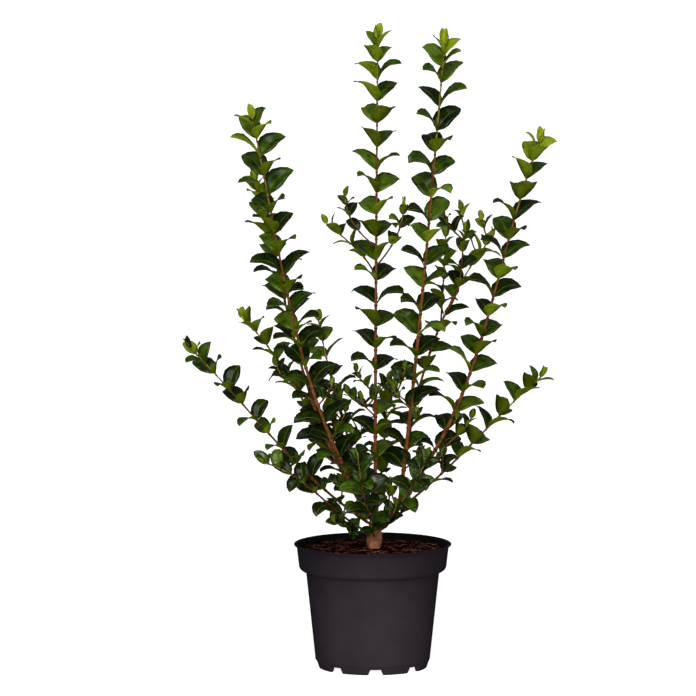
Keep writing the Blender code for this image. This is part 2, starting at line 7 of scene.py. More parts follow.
import bpy
import numpy as np
from mathutils import Matrix, Vector
from mathutils.bvhtree import BVHTree


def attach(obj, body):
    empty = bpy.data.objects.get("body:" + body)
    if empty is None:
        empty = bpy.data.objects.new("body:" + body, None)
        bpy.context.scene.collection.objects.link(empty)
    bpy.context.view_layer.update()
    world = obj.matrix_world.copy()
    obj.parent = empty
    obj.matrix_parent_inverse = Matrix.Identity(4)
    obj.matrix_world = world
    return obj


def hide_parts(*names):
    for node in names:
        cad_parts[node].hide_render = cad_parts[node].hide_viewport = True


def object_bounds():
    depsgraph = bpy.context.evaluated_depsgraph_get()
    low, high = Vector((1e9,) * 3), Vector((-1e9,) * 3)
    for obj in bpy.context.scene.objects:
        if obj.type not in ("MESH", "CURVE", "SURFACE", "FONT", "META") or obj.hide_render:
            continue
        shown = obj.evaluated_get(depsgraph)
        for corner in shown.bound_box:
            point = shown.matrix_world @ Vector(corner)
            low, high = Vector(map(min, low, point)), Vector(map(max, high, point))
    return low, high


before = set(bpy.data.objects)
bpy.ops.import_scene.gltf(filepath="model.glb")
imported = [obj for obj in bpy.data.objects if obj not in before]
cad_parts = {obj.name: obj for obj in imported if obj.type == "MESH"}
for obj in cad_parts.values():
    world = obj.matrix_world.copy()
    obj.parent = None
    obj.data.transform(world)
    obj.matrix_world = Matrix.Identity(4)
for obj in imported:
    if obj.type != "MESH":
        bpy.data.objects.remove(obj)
cad_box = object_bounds()

# The pot
# A three-litre nursery pot, injection-moulded in matt black polypropylene. It tapers to a foot ring that is
# notched for drainage, and carries a deep collar with a thin lip. The mould leaves a fine grain on it.

POT_HEIGHT = 0.150
RIM_RADIUS = 0.095
LIP_DEPTH = 0.0040
COLLAR_TOP_RADIUS = 0.0914
COLLAR_FOOT_RADIUS = 0.0886
COLLAR_FOOT_HEIGHT = 0.1215
COLLAR_RETURN = (0.0022, 0.0028)  # how far the collar's foot turns in and down to meet the body
LIP_BEVEL = (0.0006, 0.0010)  # how far the lip's outer corner is cut in and down
LIP_FLARE = 0.0012  # by which the mouth is wider at the lip
BODY_TOP_RADIUS = 0.0802
BODY_TOP_HEIGHT = 0.1155
BODY_FOOT_RADIUS = 0.0690
BODY_FOOT_HEIGHT = 0.0095
FOOT_BEVEL = (0.0006, 0.0008)  # how far the corner at the body's foot is cut in and up
FOOT_RADIUS = 0.0652
FOOT_INNER_RADIUS = 0.0615
POT_WALL = 0.0016
FLOOR_UNDERSIDE = 0.0085
HUB_RADIUS = 0.0005  # of a ring so small that a fan of triangles closes it unseen
POT_PLACES = 320  # points round each ring
SHARP_ANGLE = math.radians(40)
NOTCHES = 8
NOTCH_HEIGHT = 0.0065
NOTCH_TOP_WIDTH = 0.0125
NOTCH_SLOPE = 0.0034  # width of each sloping side
NOTCH_BEARING = math.radians(3)
DRAIN_RADIUS = 0.0045
DRAIN_CIRCLE = 0.0440
DRAIN_PLACES = 24
NEAR = 0.0001  # slack in picking the foot's points
FACING_IN = -0.001  # a face looks inwards where its normal times its place from the axis is under this


def new_piece(name, form, materials, slots=None, smooth=True):
    """A mesh object from a form, which is its points and a list of face arrays with 3 or 4 corners a row."""
    points, groups = form
    mesh = bpy.data.meshes.new(name)
    corners = np.concatenate([group.ravel() for group in groups])
    sizes = np.concatenate([np.full(len(group), group.shape[1]) for group in groups])
    mesh.vertices.add(len(points))
    mesh.vertices.foreach_set("co", points.astype(np.float32).ravel())
    mesh.loops.add(len(corners))
    mesh.loops.foreach_set("vertex_index", corners.astype(np.int32))
    mesh.polygons.add(len(sizes))
    mesh.polygons.foreach_set("loop_start", (np.cumsum(sizes) - sizes).astype(np.int32))
    for material in materials:
        mesh.materials.append(material)
    if slots is not None:
        mesh.polygons.foreach_set("material_index", slots.astype(np.int32))
    mesh.update(calc_edges=True)
    mesh.polygons.foreach_set("use_smooth", np.full(len(sizes), smooth))
    piece = bpy.data.objects.new(name, mesh)
    bpy.context.scene.collection.objects.link(piece)
    return piece


def ring_form(rings):
    """A closed form through an array (ring, place, xyz): quads between each ring and the next, and at both
    ends a fan of triangles to the ring's mean. Places run anticlockwise as seen from the last ring."""
    count, around, _ = rings.shape
    place = np.arange(count * around).reshape(count, around)
    after = np.roll(place, -1, axis=1)
    quads = np.stack([place[:-1], after[:-1], after[1:], place[1:]], axis=-1).reshape(-1, 4)
    first, last = (np.full(around, count * around + end) for end in (0, 1))
    fans = [np.stack([first, after[0], place[0]], -1), np.stack([last, place[-1], after[-1]], -1)]
    points = np.concatenate([rings.reshape(-1, 3), rings[:1].mean(axis=1), rings[-1:].mean(axis=1)])
    return points, [quads, np.concatenate(fans)]


def rounded(profile, steps=4):
    """A profile of (radius, height, corner radius) with each corner replaced by a parabola that starts and
    ends its corner radius away from it along the two sides."""
    turned = [np.array(profile[0][:2])]
    for before, here, after in zip(profile, profile[1:], profile[2:]):
        corner, size = np.array(here[:2]), here[2]
        sides = [np.array(other[:2]) - corner for other in (before, after)]
        ends = [corner + size * side / np.linalg.norm(side) for side in sides]
        t = np.linspace(0, 1, steps + 1)[:, None] if size else np.zeros((1, 1))
        turned.extend((1 - t) ** 2 * ends[0] + 2 * t * (1 - t) * corner + t**2 * ends[1])
    return np.array(turned + [np.array(profile[-1][:2])])


def turned_rings(profile, places):
    """Rings of a (radius, height) profile about Z: x is radius cos a, y is radius sin a, z is height."""
    angles = np.arange(places) * math.tau / places
    radius, height = profile[:, :1], profile[:, 1:]
    return np.stack([radius * np.cos(angles), radius * np.sin(angles), height + 0 * angles], axis=-1)


BLOTCH_RANGE = (0.32, 0.68)  # of the noise, over which one colour gives way to the other


def mottle_group():
    """Blends two colours by soft noise in the object's own space, and gives finer noise for relief."""
    group = bpy.data.node_groups.new("Mottle", "ShaderNodeTree")
    sockets = (("Dark", "Color"), ("Light", "Color"), ("Scale", "Float"), ("Grain", "Float"))
    for name, kind in sockets:
        group.interface.new_socket(name, in_out="INPUT", socket_type=f"NodeSocket{kind}")
    for name, kind in (("Colour", "Color"), ("Height", "Float")):
        group.interface.new_socket(name, in_out="OUTPUT", socket_type=f"NodeSocket{kind}")
    nodes, link = group.nodes, group.links.new
    given, put_out = nodes.new("NodeGroupInput"), nodes.new("NodeGroupOutput")
    place = nodes.new("ShaderNodeTexCoord")
    blotches, grain = nodes.new("ShaderNodeTexNoise"), nodes.new("ShaderNodeTexNoise")
    blotches.inputs["Detail"].default_value = 4.0
    grain.inputs["Detail"].default_value = 2.0
    spread, blend = nodes.new("ShaderNodeMapRange"), nodes.new("ShaderNodeMix")
    for socket, edge in zip(("From Min", "From Max"), BLOTCH_RANGE):
        spread.inputs[socket].default_value = edge
    blend.data_type = "RGBA"
    for noise, size in ((blotches, "Scale"), (grain, "Grain")):
        link(place.outputs["Object"], noise.inputs["Vector"])
        link(given.outputs[size], noise.inputs["Scale"])
    link(blotches.outputs["Fac"], spread.inputs["Value"])
    link(spread.outputs["Result"], blend.inputs["Factor"])
    link(given.outputs["Dark"], blend.inputs["A"])
    link(given.outputs["Light"], blend.inputs["B"])
    link(blend.outputs["Result"], put_out.inputs["Colour"])
    link(grain.outputs["Fac"], put_out.inputs["Height"])
    return group


MOTTLE = mottle_group()


def linear(colour):
    """Linear RGBA of an sRGB colour given as 0 to 255."""
    share = np.array(colour) / 255
    return (*np.where(share <= 0.04045, share / 12.92, ((share + 0.055) / 1.055) ** 2.4), 1.0)


def finish_of(name, dark, light, scale, roughness, grain, relief, depth=0.0003, **values):
    """A material that drifts between two sRGB colours over its surface and has a fine grain in relief. Scale
    and grain are the frequencies of the two noises, relief and depth the strength and height of the bump."""
    material = bpy.data.materials.new(name)
    material.use_nodes = True
    nodes, link = material.node_tree.nodes, material.node_tree.links.new
    shader = nodes["Principled BSDF"]
    mottle = nodes.new("ShaderNodeGroup")
    mottle.node_tree = MOTTLE
    mottle.inputs["Dark"].default_value = linear(dark)
    mottle.inputs["Light"].default_value = linear(light)
    mottle.inputs["Scale"].default_value = scale
    mottle.inputs["Grain"].default_value = grain
    bump = nodes.new("ShaderNodeBump")
    bump.inputs["Strength"].default_value = relief
    bump.inputs["Distance"].default_value = depth
    link(mottle.outputs["Height"], bump.inputs["Height"])
    link(mottle.outputs["Colour"], shader.inputs["Base Color"])
    link(bump.outputs["Normal"], shader.inputs["Normal"])
    shader.inputs["Roughness"].default_value = roughness
    for socket, value in values.items():
        shader.inputs[socket.replace("_", " ")].default_value = value
    return material


def pot_profile():
    """The pot's wall from under the floor, up the outside, over the lip and down the inside, as points of
    (radius, height, corner radius)."""
    lip = POT_HEIGHT - LIP_DEPTH
    inward, down = COLLAR_RETURN
    foot_in, foot_up = FOOT_BEVEL
    lip_in, lip_down = LIP_BEVEL
    outside = [
        (HUB_RADIUS, FLOOR_UNDERSIDE, 0),
        (FOOT_INNER_RADIUS, FLOOR_UNDERSIDE, 0.0006),
        (FOOT_INNER_RADIUS, 0.0, 0.0006),
        (FOOT_RADIUS, 0.0, 0.0012),
        (BODY_FOOT_RADIUS - foot_in, BODY_FOOT_HEIGHT, 0.0012),
        (BODY_FOOT_RADIUS, BODY_FOOT_HEIGHT + foot_up, 0.0004),
        (BODY_TOP_RADIUS, BODY_TOP_HEIGHT, 0.0006),
        (COLLAR_FOOT_RADIUS - inward, COLLAR_FOOT_HEIGHT - down, 0.0012),
        (COLLAR_FOOT_RADIUS, COLLAR_FOOT_HEIGHT, 0.0015),
        (COLLAR_TOP_RADIUS, lip, 0.0006),
        (RIM_RADIUS, POT_HEIGHT - lip_down, 0.0008),
    ]
    inside = [
        (RIM_RADIUS - lip_in, POT_HEIGHT, 0.0005),
        (COLLAR_TOP_RADIUS - POT_WALL + LIP_FLARE, POT_HEIGHT, 0.0008),
        (COLLAR_TOP_RADIUS - POT_WALL, lip, 0.0010),
        (COLLAR_FOOT_RADIUS - POT_WALL, COLLAR_FOOT_HEIGHT + POT_WALL, 0.0020),
        (BODY_TOP_RADIUS - POT_WALL, BODY_TOP_HEIGHT + POT_WALL, 0.0020),
        (BODY_FOOT_RADIUS - POT_WALL, FLOOR_UNDERSIDE + POT_WALL, 0.0015),
        (HUB_RADIUS, FLOOR_UNDERSIDE + POT_WALL, 0),
    ]
    return rounded(outside + inside)


def notched(rings):
    """Lifts the foot into rounded notches: each point under the body's foot keeps its share of what is left
    between the notch's outline and that height. The outline's sides rise by 3 s squared less 2 s cubed."""
    angle = np.arctan2(rings[..., 1], rings[..., 0]) - NOTCH_BEARING + math.pi / 2
    pitch = math.tau / NOTCHES
    away = np.abs((angle + pitch / 2) % pitch - pitch / 2) * FOOT_RADIUS
    share = np.clip((NOTCH_TOP_WIDTH / 2 + NOTCH_SLOPE - away) / NOTCH_SLOPE, 0, 1)
    notch = NOTCH_HEIGHT * share**2 * (3 - 2 * share)
    height = rings[..., 2]
    outer = np.hypot(rings[..., 0], rings[..., 1]) > FOOT_INNER_RADIUS - NEAR
    lifted = notch + height * (1 - notch / BODY_FOOT_HEIGHT)
    rings[..., 2] = np.where(outer & (height < BODY_FOOT_HEIGHT), lifted, height)
    return rings


pot_plastic = finish_of(
    "pot_plastic", (24, 20, 24), (27, 23, 27), 30.0, 0.50, 2600.0, 0.16, 0.0002, Specular_IOR_Level=0.0
)
# Near-black finish for the inside of the wall: painted shade
pot_stain = finish_of(
    "pot_stain", (7, 4, 4), (13, 8, 8), 60.0, 0.60, 2600.0, 0.16, 0.0002, Specular_IOR_Level=0.05
)
pot_rings = notched(turned_rings(pot_profile(), POT_PLACES))
pot = new_piece("pot_moulding", ring_form(pot_rings), [pot_plastic, pot_stain])
pot.data.set_sharp_from_angle(angle=SHARP_ANGLE)
drain_profile = np.array([
    (2 * HUB_RADIUS, -POT_WALL),
    (DRAIN_RADIUS, -POT_WALL),
    (DRAIN_RADIUS, 2 * POT_WALL),
    (2 * HUB_RADIUS, 2 * POT_WALL),
])
drains = []
for number in range(NOTCHES):
    bearing = NOTCH_BEARING - math.pi / 2 + number * math.tau / NOTCHES
    centre = (DRAIN_CIRCLE * math.cos(bearing), DRAIN_CIRCLE * math.sin(bearing), FLOOR_UNDERSIDE)
    drains.append(turned_rings(drain_profile, DRAIN_PLACES) + centre)


def joined(forms):
    """One form out of several, each with its quads and its triangles."""
    starts = np.cumsum([0] + [len(points) for points, _ in forms[:-1]])
    quads, triangles = (
        np.concatenate([groups[kind] + start for (_, groups), start in zip(forms, starts)]) for kind in (0, 1)
    )
    return np.concatenate([points for points, _ in forms]), [quads, triangles]


drill = new_piece("drain_cutters", joined([ring_form(rings) for rings in drains]), [])
cut = pot.modifiers.new("Drain holes", "BOOLEAN")
cut.operation = "DIFFERENCE"
cut.solver = "EXACT"
cut.object = drill
drilled = bpy.data.meshes.new_from_object(pot.evaluated_get(bpy.context.evaluated_depsgraph_get()))
pot.modifiers.clear()
pot.data = drilled
# The inner faces of the wall get the near-black finish: painted shade inside the pot
for face in drilled.polygons:
    if face.center.z > FLOOR_UNDERSIDE and face.normal.xy.dot(face.center.xy) < FACING_IN:
        face.material_index = 1
bpy.data.objects.remove(drill, do_unlink=True)
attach(pot, "root")
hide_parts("pot")

# The peat
# The root ball and its potting peat, filled to a few millimetres under the lip: dark red-brown crumbs with
# paler fibres lying over them. It settles a little lower against the wall.

PEAT_LEVEL = 0.1437
PEAT_SETTLING = 0.0004  # by which its top lies under the level
PEAT_EDGE_DROP = 0.0020
PEAT_GAP = 0.0004  # between the peat and the pot's wall
PEAT_EASES = (0.0006, 0.0004, 0.0002)  # more gap at the body's top, the collar's foot and the peat's edge
PEAT_PLACES = 200
PEAT_TOP_RINGS = 89
PEAT_RELIEF = 0.0011
PEAT_RIPPLES = ((0.65, 0.022, 1), (0.35, 0.007, 2))  # share of the relief, size and seed
RIPPLE_WAVES = 18
RIPPLE_RANGE = (0.6, 1.7)  # of the waves' frequencies, as shares
CRUMBS = 1500
CRUMB_SIZES = (0.0006, 0.0021)
CRUMB_SHRINK = (0.5, 1.0)  # of each size, so that small ones are more common
CRUMB_PROFILE = np.array(((0.35, -0.9), (0.9, -0.5), (1.0, 0.2), (0.5, 0.8)))  # radius and height, in sizes
CRUMB_PLACES = 6
CRUMB_ROUGHNESS = (0.65, 1.25)
CRUMB_FLATNESS = 0.75
CRUMB_LIE = 0.25  # height of its middle over the peat, in sizes
CRUMB_INSET = 0.004  # from the collar's foot
FIBRES = 260
FIBRE_LENGTHS = (0.006, 0.020)
FIBRE_RADIUS = 0.00022
FIBRE_GIRTHS = (0.6, 1.5)  # shares of that radius
FIBRE_POINTS = 6
FIBRE_BEND = 0.9
FIBRE_TAPER = 0.7
FIBRE_LIE = 0.0007
FIBRE_RISE = 0.0026
FIBRE_INSETS = (0.006, 0.003)  # of its middle and of its ends from the collar's foot
TRUNK_CLEAR = 0.0100  # radius kept free of crumbs round the trunk


def ripples(points, size, seed):
    """Smooth noise, mostly from -1 to 1: sine waves about size long in random directions, added up and
    divided by the root of their number."""
    chance = np.random.default_rng(seed)
    way = chance.normal(size=(RIPPLE_WAVES, 3))
    pace = (math.tau / size) * chance.uniform(*RIPPLE_RANGE, (RIPPLE_WAVES, 1))
    way *= pace / np.linalg.norm(way, axis=1, keepdims=True)
    phase = chance.uniform(0, math.tau, RIPPLE_WAVES)
    return np.sin(points @ way.T + phase).sum(axis=-1) / math.sqrt(RIPPLE_WAVES)


def peat_top(x, y):
    """Height of the peat: level, with ripples of two sizes, and lower at the wall by the fourth power."""
    flat = np.stack([x, y, 0 * x], axis=-1)
    out = np.hypot(x, y) / COLLAR_TOP_RADIUS
    lumps = PEAT_RELIEF * sum(share * ripples(flat, size, seed) for share, size, seed in PEAT_RIPPLES)
    return PEAT_LEVEL - PEAT_SETTLING - PEAT_EDGE_DROP * out**4 + lumps * (1 - out**8)


def peat_rings():
    """Rings up the inside of the pot's wall, less the gap, then in over the rippled top to the middle."""
    body_ease, collar_ease, edge_ease = PEAT_EASES
    edge = COLLAR_TOP_RADIUS - POT_WALL - PEAT_GAP - edge_ease
    wall = np.array([
        (2 * HUB_RADIUS, FLOOR_UNDERSIDE + POT_WALL + PEAT_GAP),
        (BODY_FOOT_RADIUS - POT_WALL - PEAT_GAP, FLOOR_UNDERSIDE + POT_WALL + PEAT_GAP),
        (BODY_TOP_RADIUS - POT_WALL - PEAT_GAP - body_ease, BODY_TOP_HEIGHT + 2 * POT_WALL),
        (COLLAR_FOOT_RADIUS - POT_WALL - PEAT_GAP - collar_ease, COLLAR_FOOT_HEIGHT + 2 * POT_WALL),
        (edge, PEAT_LEVEL - PEAT_EDGE_DROP),
    ])
    inward = np.linspace(edge, 2 * HUB_RADIUS, PEAT_TOP_RINGS + 1)[1:]
    top = np.stack([inward, np.full(PEAT_TOP_RINGS, PEAT_LEVEL)], axis=-1)
    rings = turned_rings(np.concatenate([wall, top]), PEAT_PLACES)
    rings[len(wall):, :, 2] = peat_top(rings[len(wall):, :, 0], rings[len(wall):, :, 1])
    return rings


def scattered(count, seed, inner, outer):
    """Even random places on a ring about the Z axis: x, y arrays, with the square of the radius uniform."""
    chance = np.random.default_rng(seed)
    radius = np.sqrt(chance.uniform(inner**2, outer**2, count))
    angle = chance.uniform(0, math.tau, count)
    return radius * np.cos(angle), radius * np.sin(angle), chance


def crumb_form():
    """Lumps of peat: flattened balls of four rings of six points, each point pushed in or out at random."""
    x, y, chance = scattered(CRUMBS, seed=3, inner=TRUNK_CLEAR, outer=COLLAR_FOOT_RADIUS - CRUMB_INSET)
    size = chance.uniform(*CRUMB_SIZES, CRUMBS) * chance.uniform(*CRUMB_SHRINK, CRUMBS)
    ball = turned_rings(CRUMB_PROFILE, CRUMB_PLACES)
    pushes = chance.uniform(*CRUMB_ROUGHNESS, (CRUMBS, *ball.shape[:2], 1))
    shape = ball * pushes * size[:, None, None, None]
    shape[..., 2] *= CRUMB_FLATNESS
    centre = np.stack([x, y, peat_top(x, y) + CRUMB_LIE * size], axis=-1)
    return joined([ring_form(rings) for rings in shape + centre[:, None, None, :]])


def fibre_form():
    """Fibres of peat: three-sided hairs that lie on the peat, bent sideways by a parabola and up at one end,
    and thinner towards both ends by the third power."""
    middle_inset, end_inset = FIBRE_INSETS
    x, y, chance = scattered(FIBRES, seed=4, inner=TRUNK_CLEAR, outer=COLLAR_FOOT_RADIUS - middle_inset)
    t = np.linspace(-0.5, 0.5, FIBRE_POINTS)
    length = chance.uniform(*FIBRE_LENGTHS, (FIBRES, 1))
    heading = chance.uniform(0, math.tau, (FIBRES, 1))
    bend = chance.uniform(-FIBRE_BEND, FIBRE_BEND, (FIBRES, 1)) * (t**2 - 0.1)
    along, across = length * t, length * bend
    px = x[:, None] + along * np.cos(heading) - across * np.sin(heading)
    py = y[:, None] + along * np.sin(heading) + across * np.cos(heading)
    shrink = np.minimum(1, (COLLAR_FOOT_RADIUS - end_inset) / np.hypot(px, py))
    px, py = px * shrink, py * shrink
    lift = chance.uniform(0, FIBRE_RISE, (FIBRES, 1)) * (t + 0.5) ** 2 + FIBRE_LIE
    centre = np.stack([px, py, peat_top(px, py) + lift], axis=-1)[:, :, None, :]
    turn = np.arange(3) * math.tau / 3
    ring = np.stack([
        -np.sin(heading) * np.cos(turn), np.cos(heading) * np.cos(turn), np.sin(turn) + 0 * heading
    ], axis=-1)[:, None, :, :]
    thin = (1 - (2 * np.abs(t)) ** 3 * FIBRE_TAPER)[None, :, None, None]
    girth = FIBRE_RADIUS * chance.uniform(*FIBRE_GIRTHS, (FIBRES, 1, 1, 1))
    return joined([ring_form(rings) for rings in centre + ring * thin * girth])


peat_brown = finish_of(
    "peat_brown", (9, 1, 0), (21, 3, 2), 160.0, 0.97, 900.0, 0.9, 0.0008, Specular_IOR_Level=0.0
)
peat_crumb = finish_of(
    "peat_crumb", (11, 2, 1), (29, 6, 3), 240.0, 0.95, 1400.0, 0.6, 0.0004, Specular_IOR_Level=0.0
)
peat_fibre = finish_of("peat_fibre", (64, 32, 20), (112, 68, 46), 90.0, 0.8, 1200.0, 0.3, 0.0002)
peat_pieces = [
    new_piece("peat_surface", ring_form(peat_rings()), [peat_brown]),
    new_piece("peat_crumbs", crumb_form(), [peat_crumb], smooth=False),
    new_piece("peat_fibres", fibre_form(), [peat_fibre]),
]
for piece in peat_pieces:
    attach(piece, "root")
    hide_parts("peat")

# The trunk and the boughs
# The trunk is a short swollen root collar with pale, faintly furrowed bark. The limb to the right and the
# bare feet of the shoots leave it: smooth red-brown bark with a ring at each old pair of leaves.

CLEARANCE = 0.0003  # between solids that rest on or meet each other
HANDLE = 0.36  # of the straight distance, from each end of a centre line to its control point
LINE_SAMPLES = 240
LEAF_LENGTH = 0.047
TRUNK_FOOT = (0.0016, 0.0, PEAT_LEVEL + CLEARANCE)
TRUNK_TOP = (0.0030, 0.0005, 0.1830)
TRUNK_GIRTHS = ((0.0, 0.0074), (0.08, 0.0088), (0.24, 0.0095), (0.48, 0.0084), (0.75, 0.0070), (1.0, 0.0056))
TRUNK_RINGS = 70
TRUNK_SIDES = 48
TRUNK_RELIEF = ((0.035, 0.011, 5, 1), (0.018, 0.0028, 6, 0.28))  # share of the radius, size, seed and squeeze
BOUGH_SIDES = 16
BOUGH_STEP = 0.003  # between rings
BOUGH_RELIEF = ((0.05, 0.004, 7, 0.5),)
BOUGH_SWELLING = 0.22  # of the radius, at an old pair of leaves
OLD_PAIR_SPACING = 0.014
OLD_PAIR_INSETS = (0.008, 0.006)  # from the bough's foot and from its end
TWIG_STEP = 0.006
KNUCKLE_PLACES = np.array((-0.0030, -0.0014, 0.0, 0.0010, 0.0022))  # of the rings that crowd round a node
KNUCKLE_WIDTH = 0.0015
KNUCKLE_INSET = 0.0004


@dataclass(frozen=True)
class Shoot:
    """One shoot from its foot to its tip bud. Angles are in degrees, lengths in metres."""

    name: str
    foot: tuple
    tip: tuple
    leans: tuple  # from upright, at the foot and at the tip
    girths: tuple  # radius at the foot and at the tip
    bare: float  # length below the first leaves, or 0 if it has no leaves
    turn: float  # bearing of the tip pair of leaves
    leaf: float = LEAF_LENGTH
    spacing: float = 0.0250  # between full-grown pairs
    twigs: tuple = ()


@dataclass(frozen=True)
class Twig:
    """A side twig of a shoot, from a share of the shoot's length to its own tip."""

    at: float
    tip: tuple
    leans: tuple
    turn: float
    girths: tuple = (0.0012, 0.0007)
    leaf: float = 0.031
    spacing: float = 0.0215
    bare: float = 0.014


FORK = (0.0325, -0.0020, 0.2005)
RIGHT_LIMB = Shoot("right_limb", (0.0030, 0.0, 0.1640), FORK, (60, 15), (0.0034, 0.0028), 0.0, 0)
SHOOTS = (
    Shoot(
        "tall_left", (0.0030, 0.0, 0.1770), (-0.142, -0.095, 0.667), (37, 14), (0.0024, 0.0008),
        0.036, 128, spacing=0.0235,
    ),
    Shoot(
        "tall_left_rear", (0.0028, 0.0008, 0.1735), (-0.140, -0.030, 0.588), (36, 16), (0.0023, 0.0008),
        0.042, 40, leaf=0.043,
    ),
    Shoot(
        "tall_middle", (0.0030, 0.0010, 0.1740), (0.006, 0.060, 0.754), (0, 9), (0.0025, 0.0008),
        0.048, 46, spacing=0.0265,
        twigs=(
            Twig(0.57, (-0.033, 0.020, 0.567), (54, 0), 40),
            Twig(0.51, (-0.056, 0.072, 0.530), (35, 60), 70),
            Twig(0.53, (0.037, 0.010, 0.556), (42, 2), 20),
        ),
    ),
    Shoot(
        "tall_inner_right", FORK, (0.084, -0.070, 0.752), (11, 8), (0.0026, 0.0008),
        0.024, 130, spacing=0.0270,
    ),
    Shoot(
        "tall_right", FORK, (0.201, 0.060, 0.630), (42, 22), (0.0024, 0.0008),
        0.024, 125, spacing=0.0240,
    ),
    Shoot(
        "low_left", (0.0025, 0.0, 0.1700), (-0.216, -0.100, 0.397), (58, 46), (0.0018, 0.0007),
        0.034, 40, leaf=0.038,
    ),
    Shoot(
        "low_right", (0.0280, -0.0015, 0.1890), (0.205, 0.090, 0.341), (60, 55), (0.0016, 0.0007),
        0.030, 60, leaf=0.040,
    ),
    Shoot(
        "front_left", (0.0022, 0.0, 0.1600), (-0.131, -0.110, 0.262), (68, 76), (0.0016, 0.0007),
        0.026, 60, leaf=0.036,
    ),
    Shoot(
        "front_middle", (0.0024, -0.0005, 0.1650), (-0.018, -0.150, 0.272), (64, 40), (0.0017, 0.0007),
        0.024, 30, leaf=0.038,
    ),
    Shoot(
        "front_right", (0.0238, -0.0010, 0.1825), (0.062, -0.120, 0.268), (62, 44), (0.0016, 0.0007),
        0.024, 20, leaf=0.036,
    ),
    Shoot(
        "front_low_left", (0.0010, 0.0, 0.1580), (-0.036, -0.046, 0.182), (70, 55), (0.0013, 0.0007),
        0.016, 80, leaf=0.028, spacing=0.0160,
    ),
    Shoot(
        "front_low_right", (0.0024, 0.0, 0.1640), (0.028, -0.052, 0.203), (66, 32), (0.0013, 0.0007),
        0.016, 120, leaf=0.030, spacing=0.0160,
    ),
    Shoot(
        "front_low_middle", (0.0018, 0.0, 0.1575), (-0.002, -0.054, 0.184), (74, 45), (0.0012, 0.0007),
        0.016, 35, leaf=0.026, spacing=0.0150,
    ),
    Shoot(
        "back_left", (0.0028, 0.0005, 0.1790), (-0.158, 0.120, 0.410), (46, 54), (0.0024, 0.0007),
        0.040, 40, leaf=0.037,
    ),
    Shoot(
        "back_right", (0.0328, -0.0020, 0.2020), (0.144, 0.130, 0.506), (8, 54), (0.0022, 0.0007),
        0.036, 20, leaf=0.038,
        twigs=(
            Twig(0.62, (0.090, 0.158, 0.507), (44, 30), 60),
            Twig(0.66, (0.112, 0.070, 0.522), (40, 10), 110),
        ),
    ),
    Shoot(
        "back_middle", (0.0026, 0.0010, 0.1720), (0.020, 0.150, 0.322), (60, 38), (0.0019, 0.0007),
        0.032, 80, leaf=0.036,
    ),
    Shoot(
        "rear_left", (0.0028, 0.0010, 0.1760), (-0.066, 0.150, 0.404), (40, 26), (0.0022, 0.0007),
        0.040, 60, leaf=0.036,
    ),
)


class CentreLine:
    """A shoot's cubic curve in one upright plane, read by distance from its foot."""

    def __init__(self, foot, tip, leans):
        foot, tip = np.array(foot), np.array(tip)
        chord = tip - foot
        heading = chord * (1, 1, 0) / np.hypot(chord[0], chord[1])
        handle = HANDLE * np.linalg.norm(chord)
        up = np.array((0.0, 0.0, 1.0))
        leaving, arriving = (
            handle * (math.sin(lean) * heading + math.cos(lean) * up) for lean in np.radians(leans)
        )
        t = np.linspace(0, 1, LINE_SAMPLES)[:, None]
        outer_half = 3 * t**2 * (1 - t) * (tip - arriving) + t**3 * tip
        self.points = (1 - t) ** 3 * foot + 3 * t * (1 - t) ** 2 * (foot + leaving) + outer_half
        steps = np.linalg.norm(np.diff(self.points, axis=0), axis=1)
        self.distances = np.concatenate([[0], np.cumsum(steps)])
        self.length = float(self.distances[-1])
        self.side = np.cross(heading, up)

    def at(self, distance):
        """Places at distances, read between the samples."""
        places = [np.interp(distance, self.distances, self.points[:, axis]) for axis in range(3)]
        return np.stack(places, axis=-1)

    def along(self, distance):
        """Unit directions at distances, from a little before to a little after."""
        reach = 0.002
        ahead = self.at(np.minimum(distance + reach, self.length)) - self.at(np.maximum(distance - reach, 0))
        return ahead / np.linalg.norm(ahead, axis=-1, keepdims=True)


def tube(line, distances, radii, sides):
    """Rings across a centre line: centre + radius (cos a side + sin a other), both at right angles to it."""
    centre, along = line.at(distances)[:, None, :], line.along(distances)
    angles = (np.arange(sides) + 0.5)[:, None] * math.tau / sides
    other = np.cross(along, line.side)[:, None, :]
    return centre + radii[:, None, None] * (np.cos(angles) * line.side + np.sin(angles) * other)


def in_relief(line, distances, rings, waves):
    """Rings with each point's distance from the centre line times 1 + the sum of share times ripples. The
    ripples read heights times their squeeze, which draws them out along Z."""
    centre = line.at(distances)[:, None, :]
    swells = (share * ripples(rings * (1, 1, squeeze), size, seed) for share, size, seed, squeeze in waves)
    return centre + (rings - centre) * sum(swells, 1)[..., None]


class Upright:
    """The trunk's straight, nearly upright centre line, read by distance from its foot."""

    def __init__(self, foot, top):
        self.foot = np.array(foot)
        self.way = np.array(top) - self.foot
        self.length = float(np.linalg.norm(self.way))
        self.way /= self.length
        self.side = np.cross(self.way, (0.0, -1.0, 0.0))
        self.side /= np.linalg.norm(self.side)

    def at(self, distance):
        """Foot + distance times the direction."""
        return self.foot + np.asarray(distance)[..., None] * self.way

    def along(self, distance):
        """The same direction at every distance."""
        return np.asarray(distance)[..., None] * 0 + self.way


def trunk_form():
    """Rings of the girths along the trunk, with lumps of the root collar and lengthwise furrows in relief."""
    line = Upright(TRUNK_FOOT, TRUNK_TOP)
    shares = np.linspace(0, 1, TRUNK_RINGS)
    distances = shares * line.length
    rings = tube(line, distances, np.interp(shares, *zip(*TRUNK_GIRTHS)), TRUNK_SIDES)
    return ring_form(in_relief(line, distances, rings, TRUNK_RELIEF))


def taper(line, girths, distances):
    """Radii that run evenly from one girth at the line's foot to the other at its tip."""
    return girths[0] + (girths[1] - girths[0]) * distances / line.length


